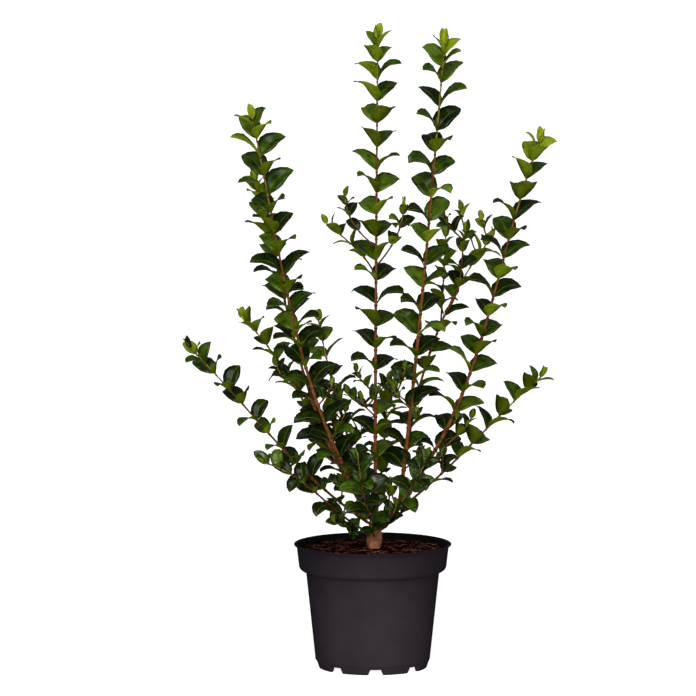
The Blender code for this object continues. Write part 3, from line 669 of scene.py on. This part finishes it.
def knuckled(line, girths, nodes, start, end, sides, swelling, step=TWIG_STEP):
    """A stem's rings from one distance to another, and those distances. The radius is the taper's, times
    1 + swelling exp(-d squared), with d the distance from a node in knuckle widths."""
    nodes = np.asarray(nodes)
    near = (nodes[:, None] + KNUCKLE_PLACES).ravel()
    near = near[(near > start + KNUCKLE_INSET) & (near < end - KNUCKLE_INSET)]
    even = np.linspace(start, end, 2 + int((end - start) / step))
    distances = np.unique(np.concatenate([even, near]).round(4))
    apart = (distances[:, None] - nodes) / KNUCKLE_WIDTH
    radius = taper(line, girths, distances) * (1 + swelling * np.exp(-(apart**2)).sum(axis=1))
    return distances, tube(line, distances, radius, sides)


trunk_bark = finish_of(
    "trunk_bark", (84, 43, 24), (156, 106, 80), 150.0, 0.75, 1500.0, 0.4, 0.0004, Specular_IOR_Level=0.08
)
bough_bark = finish_of(
    "bough_bark", (68, 36, 14), (110, 66, 28), 220.0, 0.55, 1200.0, 0.25, 0.0003, Specular_IOR_Level=0.08
)
TRUNK_SKIN = trunk_form()
trunk = new_piece("trunk_bark_skin", TRUNK_SKIN, [trunk_bark])
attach(trunk, "root")
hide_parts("trunk")

LINES = {shoot: CentreLine(shoot.foot, shoot.tip, shoot.leans) for shoot in (RIGHT_LIMB, *SHOOTS)}
bough_forms = []
for shoot, line in LINES.items():
    end = shoot.bare or line.length
    old_pairs = np.arange(end - OLD_PAIR_INSETS[1], OLD_PAIR_INSETS[0], -OLD_PAIR_SPACING)
    distances, rings = knuckled(
        line, shoot.girths, old_pairs, 0.0, end, BOUGH_SIDES, BOUGH_SWELLING, BOUGH_STEP
    )
    bough_forms.append(ring_form(in_relief(line, distances, rings, BOUGH_RELIEF)))
boughs = new_piece("bough_bark_skin", joined(bough_forms), [bough_bark])
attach(boughs, "root")
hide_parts("right_limb", *(f"bough_{shoot.name}" for shoot in SHOOTS))

# The growth of the leafy stems
# Each shoot carries opposite pairs of leaves, each pair at right angles to the one above, small and upright
# at the tip and arching over below. Short side shoots take the place of some of the lower leaves.

STEM_SIDES, STEM_STEP = 4, 0.042  # of a stem as it is tested for touching
BOUGH_TEST_SIDES, BOUGH_TEST_STEP = 8, 0.012
LEAF_WIDTH_SHARE = 0.54  # of its length
LEAF_THICKNESS = 0.0011
LEAF_FOLD = math.radians(17)
LEAF_ARCH_POWER = 1.1  # over 1 keeps more of the bend to the outer half
LEAF_ARCH_STEPS = 16
LARGE_LEAF = 0.0445  # longer ones are tested with six corners, the others with four
LEAF_SHOULDERS = (0.34, 0.72)  # shares of a six-cornered leaf's length where it is widest
LEAF_MARGIN = 0.0005  # added all round it when it is tested
TESTED_FROM = 0.14  # share of a leaf, next to its stem, that is left out when it is tested for touching
FIRST_LEAF = 0.0050  # from the stem's foot to the lowest place for a pair
LAST_LEAF = 0.002  # from the stem's tip to the highest
UPWARD_PULL = 0.45  # share of upright in the direction that a pair stands across
LIGHT_TWIST = 24  # degrees that a blade across the view turns its upper side to the light in front
LEAF_ROLL = 14
PAIR_TURN = 90.0  # degrees from each pair to the next
PAIR_DRIFT = 14.0
TURN_DRIFT = 8
LENGTH_DRIFT = (0.88, 1.08)
SPACING_DRIFT = (0.9, 1.1)
TIP_SPACING = 0.0110  # between the first two pairs
SPACING_GROWTH = 0.0050  # more between each two below, up to the shoot's own spacing
TIP_LEAF_SHARE = 0.48  # of the full length, in the tip pair
LEAF_GROWTH = 0.19  # what each pair below adds to that share
RISE = (6, 18, 6)  # degrees from the stem at a leaf's root: by the shoot's tip, when grown, and the drift
FALL = (22, 95, 14)  # the same at the leaf's own tip
SPREAD_LEFT = 0.35  # of the way from a tip leaf's posture to a grown one's, what each pair still lacks
OLD_DROOP = 14  # degrees more for the lowest leaves
OLD_PAIRS = 18  # over which the droop sets in
SEED = "garden"
SPUR_ZONE = 0.32  # share of the shoot's length, from its foot, where spurs grow
SPUR_CHANCE = 0.24
SPUR_LENGTH = (0.028, 0.046)
SPUR_LEANS = (48, 26)  # degrees from the shoot, at the spur's foot and at its tip
SPUR_LEAF = 0.029
SPUR_GIRTHS = (0.0011, 0.0007)
SPUR_BARE = 0.011
ALTERNATIVES = (  # for a leaf that would touch: degrees round the stem, degrees down, share of its length
    (0, 0, 1.0),
    (16, 0, 1.0),
    (-16, 0, 1.0),
    (0, 18, 1.0),
    (32, 6, 1.0),
    (-32, 6, 1.0),
    (0, -14, 0.92),
    (22, 12, 0.82),
    (-22, 12, 0.82),
    (0, 0, 0.72),
    (40, 0, 0.72),
    (-40, 0, 0.72),
)


@dataclass(frozen=True)
class Leaf:
    """A leaf by its root on the stem's centre line, the way it faces and how it bends."""

    root: Vector
    stem: Vector
    out: Vector
    length: float
    rise: float  # angle from the stem at its root
    fall: float  # angle from the stem at its tip
    roll: float
    order: int  # of its pair, from the tip down

    def turned(self, round_stem, down, share):
        """The leaf turned round its stem and bent down, in degrees, at a share of its length."""
        out = Matrix.Rotation(math.radians(round_stem), 3, self.stem) @ self.out
        down = math.radians(down)
        rise, fall = self.rise + down, self.fall + down
        return replace(self, out=out, length=self.length * share, rise=rise, fall=fall)


MIDDLES = (np.arange(LEAF_ARCH_STEPS) + 0.5) / LEAF_ARCH_STEPS  # of the steps by which the arch is added up


def arch(rise, fall, share):
    """A midrib's angle from its stem: rise, plus the rest to fall times a power of the share of length."""
    return rise + (fall - rise) * share**LEAF_ARCH_POWER


def midrib(leaf, share, length):
    """The midrib's angle from the stem at a share of its length, and how far along and out that place is."""
    angles = arch(leaf.rise, leaf.fall, MIDDLES * share)
    reach = length * share
    angle = arch(leaf.rise, leaf.fall, share)
    return angle, reach * float(np.cos(angles).mean()), reach * float(np.sin(angles).mean())


def leaf_space(leaf, start):
    """The room a leaf takes, as a tree of triangles from its outline's corners to a point over and under."""
    length = leaf.length + LEAF_MARGIN
    half_width = leaf.length * LEAF_WIDTH_SHARE / 2 + LEAF_MARGIN
    half_thick = LEAF_THICKNESS / 2 + LEAF_MARGIN
    side = leaf.stem.cross(leaf.out)
    shoulders = LEAF_SHOULDERS if leaf.length > LARGE_LEAF else (0.5,)
    rim = [(0, start)] + [(-1, share) for share in shoulders] + [(0, 1.0)]
    rim += [(1, share) for share in reversed(shoulders)]
    points = []
    for across, share, over in [(*corner, 0) for corner in rim] + [(0, 0.5, 1), (0, 0.5, -1)]:
        angle, along_stem, outward = midrib(leaf, share, length)
        face = math.sin(angle) * leaf.stem - math.cos(angle) * leaf.out
        spread = half_width * across
        tilt = math.copysign(LEAF_FOLD, across) + leaf.roll
        lift = spread * math.sin(tilt) + over * half_thick
        place = along_stem * leaf.stem + outward * leaf.out + spread * math.cos(tilt) * side + lift * face
        points.append(leaf.root + place)
    count = len(rim)
    faces = [(i, (i + 1) % count, count + pole) for i in range(count) for pole in (0, 1)]
    return BVHTree.FromPolygons(points, faces)


def form_tree(form):
    """A form as a tree of its faces, to test for touching."""
    points, groups = form
    return BVHTree.FromPolygons(points.tolist(), [face for group in groups for face in group.tolist()])


def stem_space(line, girths, start, step=STEM_STEP, grown=0.0):
    """The room a stem takes from a distance to its tip, its radii grown by a margin."""
    count = max(2, 1 + math.ceil((line.length - start) / step))
    distances = np.linspace(start, line.length, count)
    return form_tree(ring_form(tube(line, distances, taper(line, girths, distances) + grown, STEM_SIDES)))


TAKEN = {"limbs": []}  # the trees of what stands already, by the name of its mass


def is_clear(owner, whole, outer):
    """Whether a piece is clear of other masses as a whole, and of its own mass away from its root."""
    for name, trees in TAKEN.items():
        piece = outer if name == owner else whole
        if any(piece.overlap(tree) for tree in trees):
            return False
    return True


def leaf_stations(length, bare, full_spacing, chance):
    """Distances from the foot of each pair, from the tip down, closer together near the tip."""
    spacing = TIP_SPACING
    distance = length - LAST_LEAF
    while distance > bare:
        yield distance
        distance -= spacing * chance.uniform(*SPACING_DRIFT)
        spacing = min(full_spacing, spacing + SPACING_GROWTH)


def leaves_on(line, plan, bare, chance):
    """Opposite pairs of leaves with their distances from the foot, from the tip down."""
    for number, distance in enumerate(leaf_stations(line.length, bare, plan.spacing, chance)):
        root, stem = Vector(line.at(distance)), Vector(line.along(distance))
        stem = (stem * (1 - UPWARD_PULL) + Vector((0, 0, UPWARD_PULL))).normalized()
        bearing = math.radians(plan.turn + PAIR_TURN * number + chance.uniform(-PAIR_DRIFT, PAIR_DRIFT))
        first = Vector((math.cos(bearing), math.sin(bearing), 0.0))
        first = (first - first.dot(stem) * stem).normalized()
        age = min(1.0, TIP_LEAF_SHARE + LEAF_GROWTH * number)
        spread = 1.0 - SPREAD_LEFT**number
        droop = OLD_DROOP * min(1.0, number / OLD_PAIRS)
        for out in (first, -first):
            length = plan.leaf * age * chance.uniform(*LENGTH_DRIFT)
            rise, fall = (
                math.radians(young + spread * (grown - young) + droop + chance.uniform(-drift, drift))
                for young, grown, drift in (RISE, FALL)
            )
            turn = math.radians(chance.uniform(-TURN_DRIFT, TURN_DRIFT))
            out = Matrix.Rotation(turn, 3, stem) @ out
            roll = math.radians(LIGHT_TWIST * stem.cross(out).y + chance.uniform(-LEAF_ROLL, LEAF_ROLL))
            yield distance, Leaf(root, stem, out, length, rise, fall, roll, number)


def spur_from(leaf, chance, lengths, spur_leaf):
    """A short side shoot in a leaf's place: its centre line and its plan."""
    reach = chance.uniform(*lengths)
    lean = math.radians(SPUR_LEANS[0])
    tip = leaf.root + reach * (math.cos(lean) * leaf.stem + math.sin(lean) * leaf.out)
    plan = Twig(0.0, tuple(tip), SPUR_LEANS, chance.uniform(0, 180), SPUR_GIRTHS, spur_leaf, bare=SPUR_BARE)
    return CentreLine(leaf.root, plan.tip, plan.leans), plan


class Mass:
    """The leafy stem of a shoot with its twigs and leaves, gathered clear of what is there already."""

    def __init__(self, shoot, line):
        self.shoot, self.line, self.name = shoot, line, shoot.name
        self.chance = random.Random(f"{SEED} {shoot.name}")
        self.leaves = []
        self.first_side_leaf = 0  # number of the first leaf that isn't on the shoot itself
        self.stems = []  # (centre line, plan, the distances of its pairs)
        self.axils = []  # the leaves at which a finer twig may grow
        self.twigs = []  # (centre line, plan)
        TAKEN[self.name] = [stem_space(line, shoot.girths, shoot.bare, grown=LEAF_MARGIN)]
        for twig in shoot.twigs:
            twig_line = CentreLine(line.at(twig.at * line.length), twig.tip, twig.leans)
            self.twigs.append((twig_line, twig))
            TAKEN[self.name].append(stem_space(twig_line, twig.girths, 0.0, grown=LEAF_MARGIN))

    def try_spur(self, leaf, lengths=SPUR_LENGTH, spur_leaf=SPUR_LEAF):
        """A spur at this leaf, if it has room: its centre line, its plan and its form."""
        line, plan = spur_from(leaf, self.chance, lengths, spur_leaf)
        whole = stem_space(line, plan.girths, 0.0, STEM_STEP / 2)
        outer = stem_space(line, plan.girths, SPUR_BARE / 2)
        return (line, plan, whole) if is_clear(self.name, whole, outer) else None

    def place_leaf(self, leaf):
        """Adds the leaf as the first of its alternatives that touches nothing, and returns its form."""
        for change in ALTERNATIVES:
            candidate = leaf.turned(*change)
            whole = leaf_space(candidate, 0.0)
            if is_clear(self.name, whole, leaf_space(candidate, TESTED_FROM)):
                self.leaves.append(candidate)
                return whole
        return None

    def grow(self, line, plan, bare, spurs):
        """Places the leaves of one stem or twig, then those of its spurs."""
        forms, side_shoots, pairs = [], [], []
        for distance, leaf in leaves_on(line, plan, bare, self.chance):
            pairs.append(distance)
            low = spurs and distance < SPUR_ZONE * line.length
            spur = self.try_spur(leaf) if low and self.chance.random() < SPUR_CHANCE else None
            if spur:
                side_shoots.append(spur)
            else:
                forms.append(self.place_leaf(leaf))
                self.axils.append(leaf)
        if plan is self.shoot:
            self.first_side_leaf = len(self.leaves)
        self.stems.append((line, plan, sorted(set(pairs))))
        TAKEN[self.name].extend(filter(None, forms))
        for spur, spur_plan, form in side_shoots:
            self.grow(spur, spur_plan, SPUR_BARE, False)
            TAKEN[self.name].append(form)

    def build(self):
        """Grows the shoot itself and then its side twigs."""
        self.grow(self.line, self.shoot, self.shoot.bare + CLEARANCE + FIRST_LEAF, True)
        for twig_line, twig in self.twigs:
            self.grow(twig_line, twig, twig.bare, False)


for shoot, line in LINES.items():
    end = shoot.bare or line.length
    _, rings = knuckled(line, shoot.girths, (), 0.0, end, BOUGH_TEST_SIDES, 0.0, BOUGH_TEST_STEP)
    TAKEN["limbs"].append(form_tree(ring_form(rings)))
TAKEN["limbs"].append(form_tree(TRUNK_SKIN))
MASSES = [Mass(shoot, LINES[shoot]) for shoot in SHOOTS]
for mass in MASSES:
    mass.build()

# The finer twigs
# In the lower part of the shrub and behind, buds in the axils of the leaves have broken into short twigs of
# small leaves. They stay inside the reach of the solids.

FINE_ROOM = (0.34, 0.115)  # height up to which they grow, and distance from the pot's axis
SHELTERED_ROOMS = {"back_right": (0.60, 0.20), "rear_left": (0.42, 0.17), "back_left": (0.42, 0.17)}  # behind
FINE_CHANCES = (0.85, 0.35)  # at the peat and at that height
FINE_LENGTH = (0.026, 0.050)
FINE_LEAF = 0.032
FINE_BARE = 0.7 * SPUR_BARE
FINE_INSET = 0.01  # of their tips from the sides of the solids' box


def in_reach(tip):
    """Whether a tip lies inside the box of the solids, less the inset."""
    return all(low + FINE_INSET < x < high - FINE_INSET for low, x, high in zip(cad_box[0], tip, cad_box[1]))


for mass in MASSES:
    mass.chance = random.Random(f"{SEED} {mass.name} fine")
    top, reach = SHELTERED_ROOMS.get(mass.name, FINE_ROOM)
    for leaf in list(mass.axils):
        share = (leaf.root.z - PEAT_LEVEL) / (top - PEAT_LEVEL)
        if share > 1 or leaf.root.xy.length > reach:
            continue
        if mass.chance.random() > np.interp(share, (0, 1), FINE_CHANCES):
            continue
        spur = mass.try_spur(leaf, FINE_LENGTH, FINE_LEAF)
        if spur and in_reach(spur[1].tip):
            line, plan, form = spur
            mass.grow(line, plan, FINE_BARE, False)
            TAKEN[mass.name].append(form)

# The leaves
# Leathery elliptic blades with a pointed tip, glossy and dark above with a pale midrib, lighter below, on
# short stalks. Young ones at the tips are yellow-green. Each is a thin closed blade, folded up along its
# midrib.

ROWS = np.array((0.0, 0.07, 0.15, 0.28, 0.43, 0.59, 0.75, 0.89))  # shares of the length; the tip follows
COLUMNS = np.array((-1.0, -0.55, -0.035, 0.035, 0.55, 1.0))  # shares of the half width
STALK_END = 0.07
STALK_HALF_WIDTH = 0.00065
BLADE_POWERS = (0.60, 0.80)  # of the distance from the stalk and from the tip, in the outline
BLADE_WIDTH = 1.05  # of the width that a leaf is tested with
VEIN_THICKNESS = 0.00075
TIP_THICKNESS = 0.00015
FULL_THICKNESS = 0.03  # length from which a leaf is as thick as that
FOLD_EASE = (1.30, 0.45)  # share of the fold's angle at the midrib, and how much less it is at the margin
MARGIN_WAVE = 0.018  # share of the length
MARGIN_WAVES = 1.6
HOOKED_SHARE = 0.18  # of the leaves
HOOKED_PART = 0.3  # of their length, at the tip
HOOK = math.radians(44)
HOOK_RANGE = (0.5, 1.0)
UPPER, UNDER, MIDRIB, STALK = range(4)


def leaf_pattern():
    """Faces of one leaf and what each is. Points: the upper grid by rows, the tip, and one under each row."""
    rows, columns = len(ROWS), len(COLUMNS)
    top = np.arange(rows * columns).reshape(rows, columns)
    tip, below = rows * columns, rows * columns + 1 + np.arange(rows)
    quads = np.stack([top[:-1, :-1], top[:-1, 1:], top[1:, 1:], top[1:, :-1]], axis=-1).reshape(-1, 4)
    kinds = np.full((rows - 1, columns - 1), UPPER)
    kinds[:, (columns - 1) // 2] = MIDRIB
    kinds[0] = STALK
    left = np.stack([top[1:, 0], below[1:], below[:-1], top[:-1, 0]], axis=-1)
    right = np.stack([below[1:], top[1:, -1], top[:-1, -1], below[:-1]], axis=-1)
    side_kinds = np.full(rows - 1, UNDER)
    side_kinds[0] = STALK
    ends = [(top[-1, c], top[-1, c + 1], tip) for c in range(columns - 1)]
    ends += [(tip, below[-1], top[-1, 0]), (top[-1, -1], below[-1], tip)]
    ends += [(top[0, c + 1], top[0, c], below[0]) for c in range(columns - 1)]
    tip_kinds = [UPPER] * (columns - 1) + [UNDER] * 2 + [STALK] * (columns - 1)
    tip_kinds[(columns - 1) // 2] = MIDRIB
    quads = np.concatenate([quads, left, right])
    kinds = np.concatenate([kinds.ravel(), side_kinds, side_kinds])
    return quads, np.array(ends), kinds, np.array(tip_kinds)


def parts_of(leaves, *names):
    """One array for each named part of the leaves."""
    return [np.array([getattr(leaf, name) for leaf in leaves], dtype=float) for name in names]


def hooked(share):
    """How much of the hooked part lies behind a share of the length."""
    return np.clip(share - (1 - HOOKED_PART), 0, 1) / HOOKED_PART


def leaf_points(leaves, chance):
    """Points of every leaf, an array (leaf, point, xyz). The midrib follows its arch, and hooks down at some
    tips. The half width is v to one power times 1 - v to another, and each half lifts at the fold's angle,
    which eases towards the margin, and waves along it."""
    root, stem, out = parts_of(leaves, "root", "stem", "out")
    length, rise, fall, roll = (part[:, None] for part in parts_of(leaves, "length", "rise", "fall", "roll"))
    count = len(leaves)
    hook = HOOK * (chance.random((count, 1)) < HOOKED_SHARE) * chance.uniform(*HOOK_RANGE, (count, 1))
    shares = np.append(ROWS, 1.0)
    fine = MIDDLES * shares[:, None]
    angles = arch(rise[..., None], fall[..., None], fine) + hook[..., None] * hooked(fine)
    along = length * shares * np.cos(angles).mean(axis=-1)
    outward = length * shares * np.sin(angles).mean(axis=-1)
    angle = arch(rise, fall, shares) + hook * hooked(shares)
    side = np.cross(stem, out)[:, None, :]
    stem, out = stem[:, None, :], out[:, None, :]
    rib = root[:, None, :] + along[..., None] * stem + outward[..., None] * out
    face = np.sin(angle)[..., None] * stem - np.cos(angle)[..., None] * out
    blade = np.clip((shares - STALK_END) / (1 - STALK_END), 0, 1)
    outline = blade ** BLADE_POWERS[0] * (1 - blade) ** BLADE_POWERS[1]
    widest = BLADE_POWERS[0] / sum(BLADE_POWERS)
    outline /= widest ** BLADE_POWERS[0] * (1 - widest) ** BLADE_POWERS[1]
    half_width = length * LEAF_WIDTH_SHARE * BLADE_WIDTH / 2 * outline
    half_width = np.maximum(half_width, STALK_HALF_WIDTH * (shares <= STALK_END))
    across = half_width[..., None] * COLUMNS
    ease = FOLD_EASE[0] - FOLD_EASE[1] * np.abs(COLUMNS)
    tilt = np.sign(COLUMNS) * LEAF_FOLD * ease * (shares > STALK_END)[:, None] + roll[..., None]
    phase = chance.uniform(0, math.tau, (count, 1, 1))
    wave = np.sin(MARGIN_WAVES * math.tau * shares[:, None] + phase + np.sign(COLUMNS))
    wave = MARGIN_WAVE * length[..., None] * wave * COLUMNS**2 * outline[:, None]
    lift = across * np.sin(tilt) + wave
    upper = (
        rib[:, :, None, :]
        + (across * np.cos(tilt))[..., None] * side[:, None]
        + lift[..., None] * face[:, :, None, :]
    )
    thick = VEIN_THICKNESS + (TIP_THICKNESS - VEIN_THICKNESS) * shares
    under = rib - (thick * np.minimum(1.0, length / FULL_THICKNESS))[..., None] * face
    points = [upper[:, :-1].reshape(count, -1, 3), rib[:, -1:], under[:, :-1]]
    return np.concatenate(points, axis=1)


def leaf_finish(name, dark, light, roughness, coat):
    """A leaf's finish, with a fine grain in relief and a waxy coat where it has one."""
    return finish_of(
        name, dark, light, 90.0, roughness, 700.0, 0.12, 0.0003,
        Coat_Weight=coat, Coat_Roughness=0.20, Specular_IOR_Level=0.0,
    )


LEAF_FINISHES = [
    leaf_finish("leaf_deep", (9, 16, 1), (26, 39, 3), 0.36, 0.34),
    leaf_finish("leaf_dark", (18, 32, 1), (50, 73, 6), 0.36, 0.38),
    leaf_finish("leaf_mid", (40, 59, 5), (80, 102, 14), 0.38, 0.38),
    leaf_finish("leaf_light", (66, 84, 8), (102, 120, 17), 0.42, 0.12),
    leaf_finish("leaf_young", (100, 118, 16), (120, 134, 26), 0.42, 0.14),
    leaf_finish("underside_grown", (58, 68, 6), (78, 90, 14), 0.62, 0.0),
    leaf_finish("underside_young", (104, 116, 18), (122, 134, 30), 0.60, 0.0),
    leaf_finish("midrib_grown", (58, 80, 26), (80, 102, 42), 0.50, 0.1),
    leaf_finish("leaf_stalk", (104, 80, 26), (124, 98, 36), 0.50, 0.0),
    leaf_finish("underside_light", (78, 94, 12), (104, 120, 22), 0.60, 0.0),
]
# Numbers in that list for the upper side, underside, midrib and stalk, in five tones from deepest to youngest
TONES = np.array([[0, 5, 7, 8], [1, 5, 7, 8], [2, 9, 7, 8], [3, 9, 6, 8], [4, 6, 6, 8]])
LIGHTEST = (4, 2)  # tone that a young leaf can have, and a grown one
GROWN_TONE = 1.05  # of a grown leaf in full light, before its own spread
YOUTH = (2.9, 1.9, 1.1)  # tones by which the tip pair is lighter, the second, and the third and fourth
TONE_SPREAD = 0.8
# Painted shade: the leaves of side twigs and spurs, inside the shrub, are given deeper tones
SIDE_PAINTED_SHADE = 0.9  # tones by which the leaves of side twigs and spurs are deeper than the shoot's own
# Painted shade: leaves low in the shrub get deeper tones, and below the open height the young ones lose most
# of their yellow-green
HEIGHT_PAINTED_SHADE = 1.5  # tones by which leaves at the ground are deeper than those at the open height and above
OPEN_HEIGHT = 0.58
FIRST_SEED = 100

QUADS, ENDS, QUAD_KINDS, END_KINDS = leaf_pattern()
for number, mass in enumerate(MASSES):
    chance = np.random.default_rng(FIRST_SEED + number)
    points = leaf_points(mass.leaves, chance)
    count, each = points.shape[:2]
    starts = (np.arange(count) * each)[:, None, None]
    order, root = parts_of(mass.leaves, "order", "root")
    youth = np.select([order == 0, order == 1, order <= 3], YOUTH, 0.0)
    # Share of full light by height: lower leaves get deeper tones as painted shade; the random spread is the
    # leaves' own
    light = np.clip(root[:, 2] / OPEN_HEIGHT, 0, 1)
    tone = GROWN_TONE + youth * light**2 - HEIGHT_PAINTED_SHADE * (1 - light) + chance.normal(0, TONE_SPREAD, count)
    # Painted shade on the leaves of side twigs and spurs
    tone -= SIDE_PAINTED_SHADE * (np.arange(count) >= mass.first_side_leaf)
    tone = np.clip(tone, 0, np.where(youth > 0, *LIGHTEST)).round().astype(int)
    quad_slots = TONES[tone][:, QUAD_KINDS].ravel()
    end_slots = TONES[tone][:, END_KINDS].ravel()
    form = points.reshape(-1, 3), [(QUADS + starts).reshape(-1, 4), (ENDS + starts).reshape(-1, 3)]
    piece = new_piece(f"leaves_{mass.name}", form, LEAF_FINISHES, np.concatenate([quad_slots, end_slots]))
    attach(piece, "root")
    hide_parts(f"foliage_{mass.name}")

# The twigs
# Slender glossy stems, red-brown below and greener towards the growing tip, swollen and redder at each pair
# of leaves. The thinner ones are darker.

TWIG_SIDES = 8
TWIG_SWELLING = 0.38
NODE_REACH = 0.0014  # along the stem, of the redder bark at a pair
GREEN_FROM = 0.80  # share of a stem's length where its bark turns green
THIN_GIRTH = 0.0020  # radius at the foot under which a stem's bark is darker
TWIG_BARKS = (  # name, darker and lighter colour, scale, roughness, relief and gloss
    ("twig_brown", (72, 38, 13), (116, 68, 27), 120.0, 0.45, 0.15, 0.10),
    ("twig_node", (72, 26, 12), (104, 44, 20), 200.0, 0.48, 0.2, 0.08),
    ("twig_dark", (50, 28, 13), (92, 54, 26), 120.0, 0.45, 0.15, 0.10),
    ("twig_green", (100, 86, 28), (124, 106, 38), 120.0, 0.45, 0.1, 0.15),
)
BROWN, NODE, DARK, GREEN = range(4)

twig_finishes = [
    finish_of(name, dark, light, scale, roughness, 900.0, relief, 0.0002, Specular_IOR_Level=gloss)
    for name, dark, light, scale, roughness, relief, gloss in TWIG_BARKS
]
for mass in MASSES:
    forms, side_slots, end_slots = [], [], []
    for line, plan, pairs in mass.stems:
        start = mass.shoot.bare if plan is mass.shoot else 0.0
        distances, rings = knuckled(line, plan.girths, pairs, start, line.length, TWIG_SIDES, TWIG_SWELLING)
        forms.append(ring_form(rings))
        middle = (distances[:-1] + distances[1:]) / 2
        at_pair = (np.abs(middle[:, None] - np.array(pairs)) < NODE_REACH).any(axis=1)
        bark = DARK if plan.girths[0] < THIN_GIRTH else BROWN
        kind = np.where(at_pair, NODE, np.where(middle > GREEN_FROM * line.length, GREEN, bark))
        side_slots.append(np.repeat(kind, TWIG_SIDES))
        end_slots.append(np.repeat(kind[[0, -1]], TWIG_SIDES))
    slots = np.concatenate(side_slots + end_slots)
    piece = new_piece(f"twigs_{mass.name}", joined(forms), twig_finishes, slots)
    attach(piece, "root")
    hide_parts(f"foliage_{mass.name}")

# The studio
# A pale floor runs back out of sight and glows a little, to come out white, in a dim white room. One large
# soft light shines from the upper left, a softbox from the front and one from the right, and a spot on the
# pot. The camera stands six metres in front and a little above.

CAMERA_PLACE = (-0.0297, -6.0, 1.0253)
CAMERA_DIP = math.radians(6.081)
LENS = 260.6
SENSOR = 36.0
VIEW_DEPTH = 500.0
FLOOR_SIZE = 160.0
FLOOR_GLOW = 0.80
SUN_BEARING = math.radians(-10)  # from the camera's side, to the left
SUN_RISE = math.radians(52)
SUN_STRENGTH = 3.3
SUN_SIZE = math.radians(56)
ROOM_STRENGTH = 0.18
SOFTBOXES = (  # name, place, power in watts, size
    ("front", (-0.3, -2.4, 0.9), 30, 0.7),
    ("side", (2.3, -1.2, 1.5), 14, 1.0),
)
SOFTBOX_AIM = (0.0, 0.0, 0.35)
SPOT_PLACE = (0.0, -3.2, 0.62)  # in front of the pot and a little above, and aimed at its lower half
SPOT_AIM = (0.0, 0.0, 0.040)
SPOT_POWER = 880
SPOT_ANGLE = math.radians(4.2)
SPOT_RADIUS = 0.04
SPOT_BLEND = 1.0

half = FLOOR_SIZE / 2
corners = np.array([(-half, -half, 0), (half, -half, 0), (half, half, 0), (-half, half, 0)])
floor_pale = finish_of(
    "floor_pale", (160, 160, 160), (164, 164, 164), 0.4, 0.95, 4.0, 0.0, Emission_Strength=FLOOR_GLOW
)
floor = new_piece("floor", (corners, [np.array([[0, 1, 2, 3]])]), [floor_pale], smooth=False)

world = bpy.data.worlds.new("white_room")
bpy.context.scene.world = world
world.use_nodes = True
world.node_tree.nodes["Background"].inputs["Color"].default_value = (1.0, 1.0, 1.0, 1.0)
world.node_tree.nodes["Background"].inputs["Strength"].default_value = ROOM_STRENGTH

sun_lamp = bpy.data.lights.new("sun", "SUN")
sun_lamp.energy = SUN_STRENGTH
sun_lamp.angle = SUN_SIZE
sun = bpy.data.objects.new("sun", sun_lamp)
sun.rotation_euler = (math.pi / 2 - SUN_RISE, 0.0, SUN_BEARING)
bpy.context.scene.collection.objects.link(sun)


def lamp_at(name, kind, place, aim, power):
    """A lamp of the kind at a place, turned so that it shines along the line from there to its aim."""
    lamp = bpy.data.lights.new(name, kind)
    lamp.energy = power
    light = bpy.data.objects.new(name, lamp)
    light.location = place
    light.rotation_euler = (Vector(aim) - Vector(place)).to_track_quat("-Z", "Y").to_euler()
    bpy.context.scene.collection.objects.link(light)
    return lamp


for name, place, power, size in SOFTBOXES:
    softbox = lamp_at(name, "AREA", place, SOFTBOX_AIM, power)
    softbox.size = size

spot = lamp_at("pot_spot", "SPOT", SPOT_PLACE, SPOT_AIM, SPOT_POWER)
spot.spot_size = SPOT_ANGLE
spot.spot_blend = SPOT_BLEND
spot.shadow_soft_size = SPOT_RADIUS

lens = bpy.data.cameras.new("camera")
lens.lens = LENS
lens.sensor_width = SENSOR
lens.clip_end = VIEW_DEPTH
camera = bpy.data.objects.new("camera", lens)
camera.location = CAMERA_PLACE
camera.rotation_euler = (math.pi / 2 - CAMERA_DIP, 0.0, 0.0)
bpy.context.scene.collection.objects.link(camera)
bpy.context.scene.camera = camera
bpy.context.scene.view_settings.view_transform = "Standard"
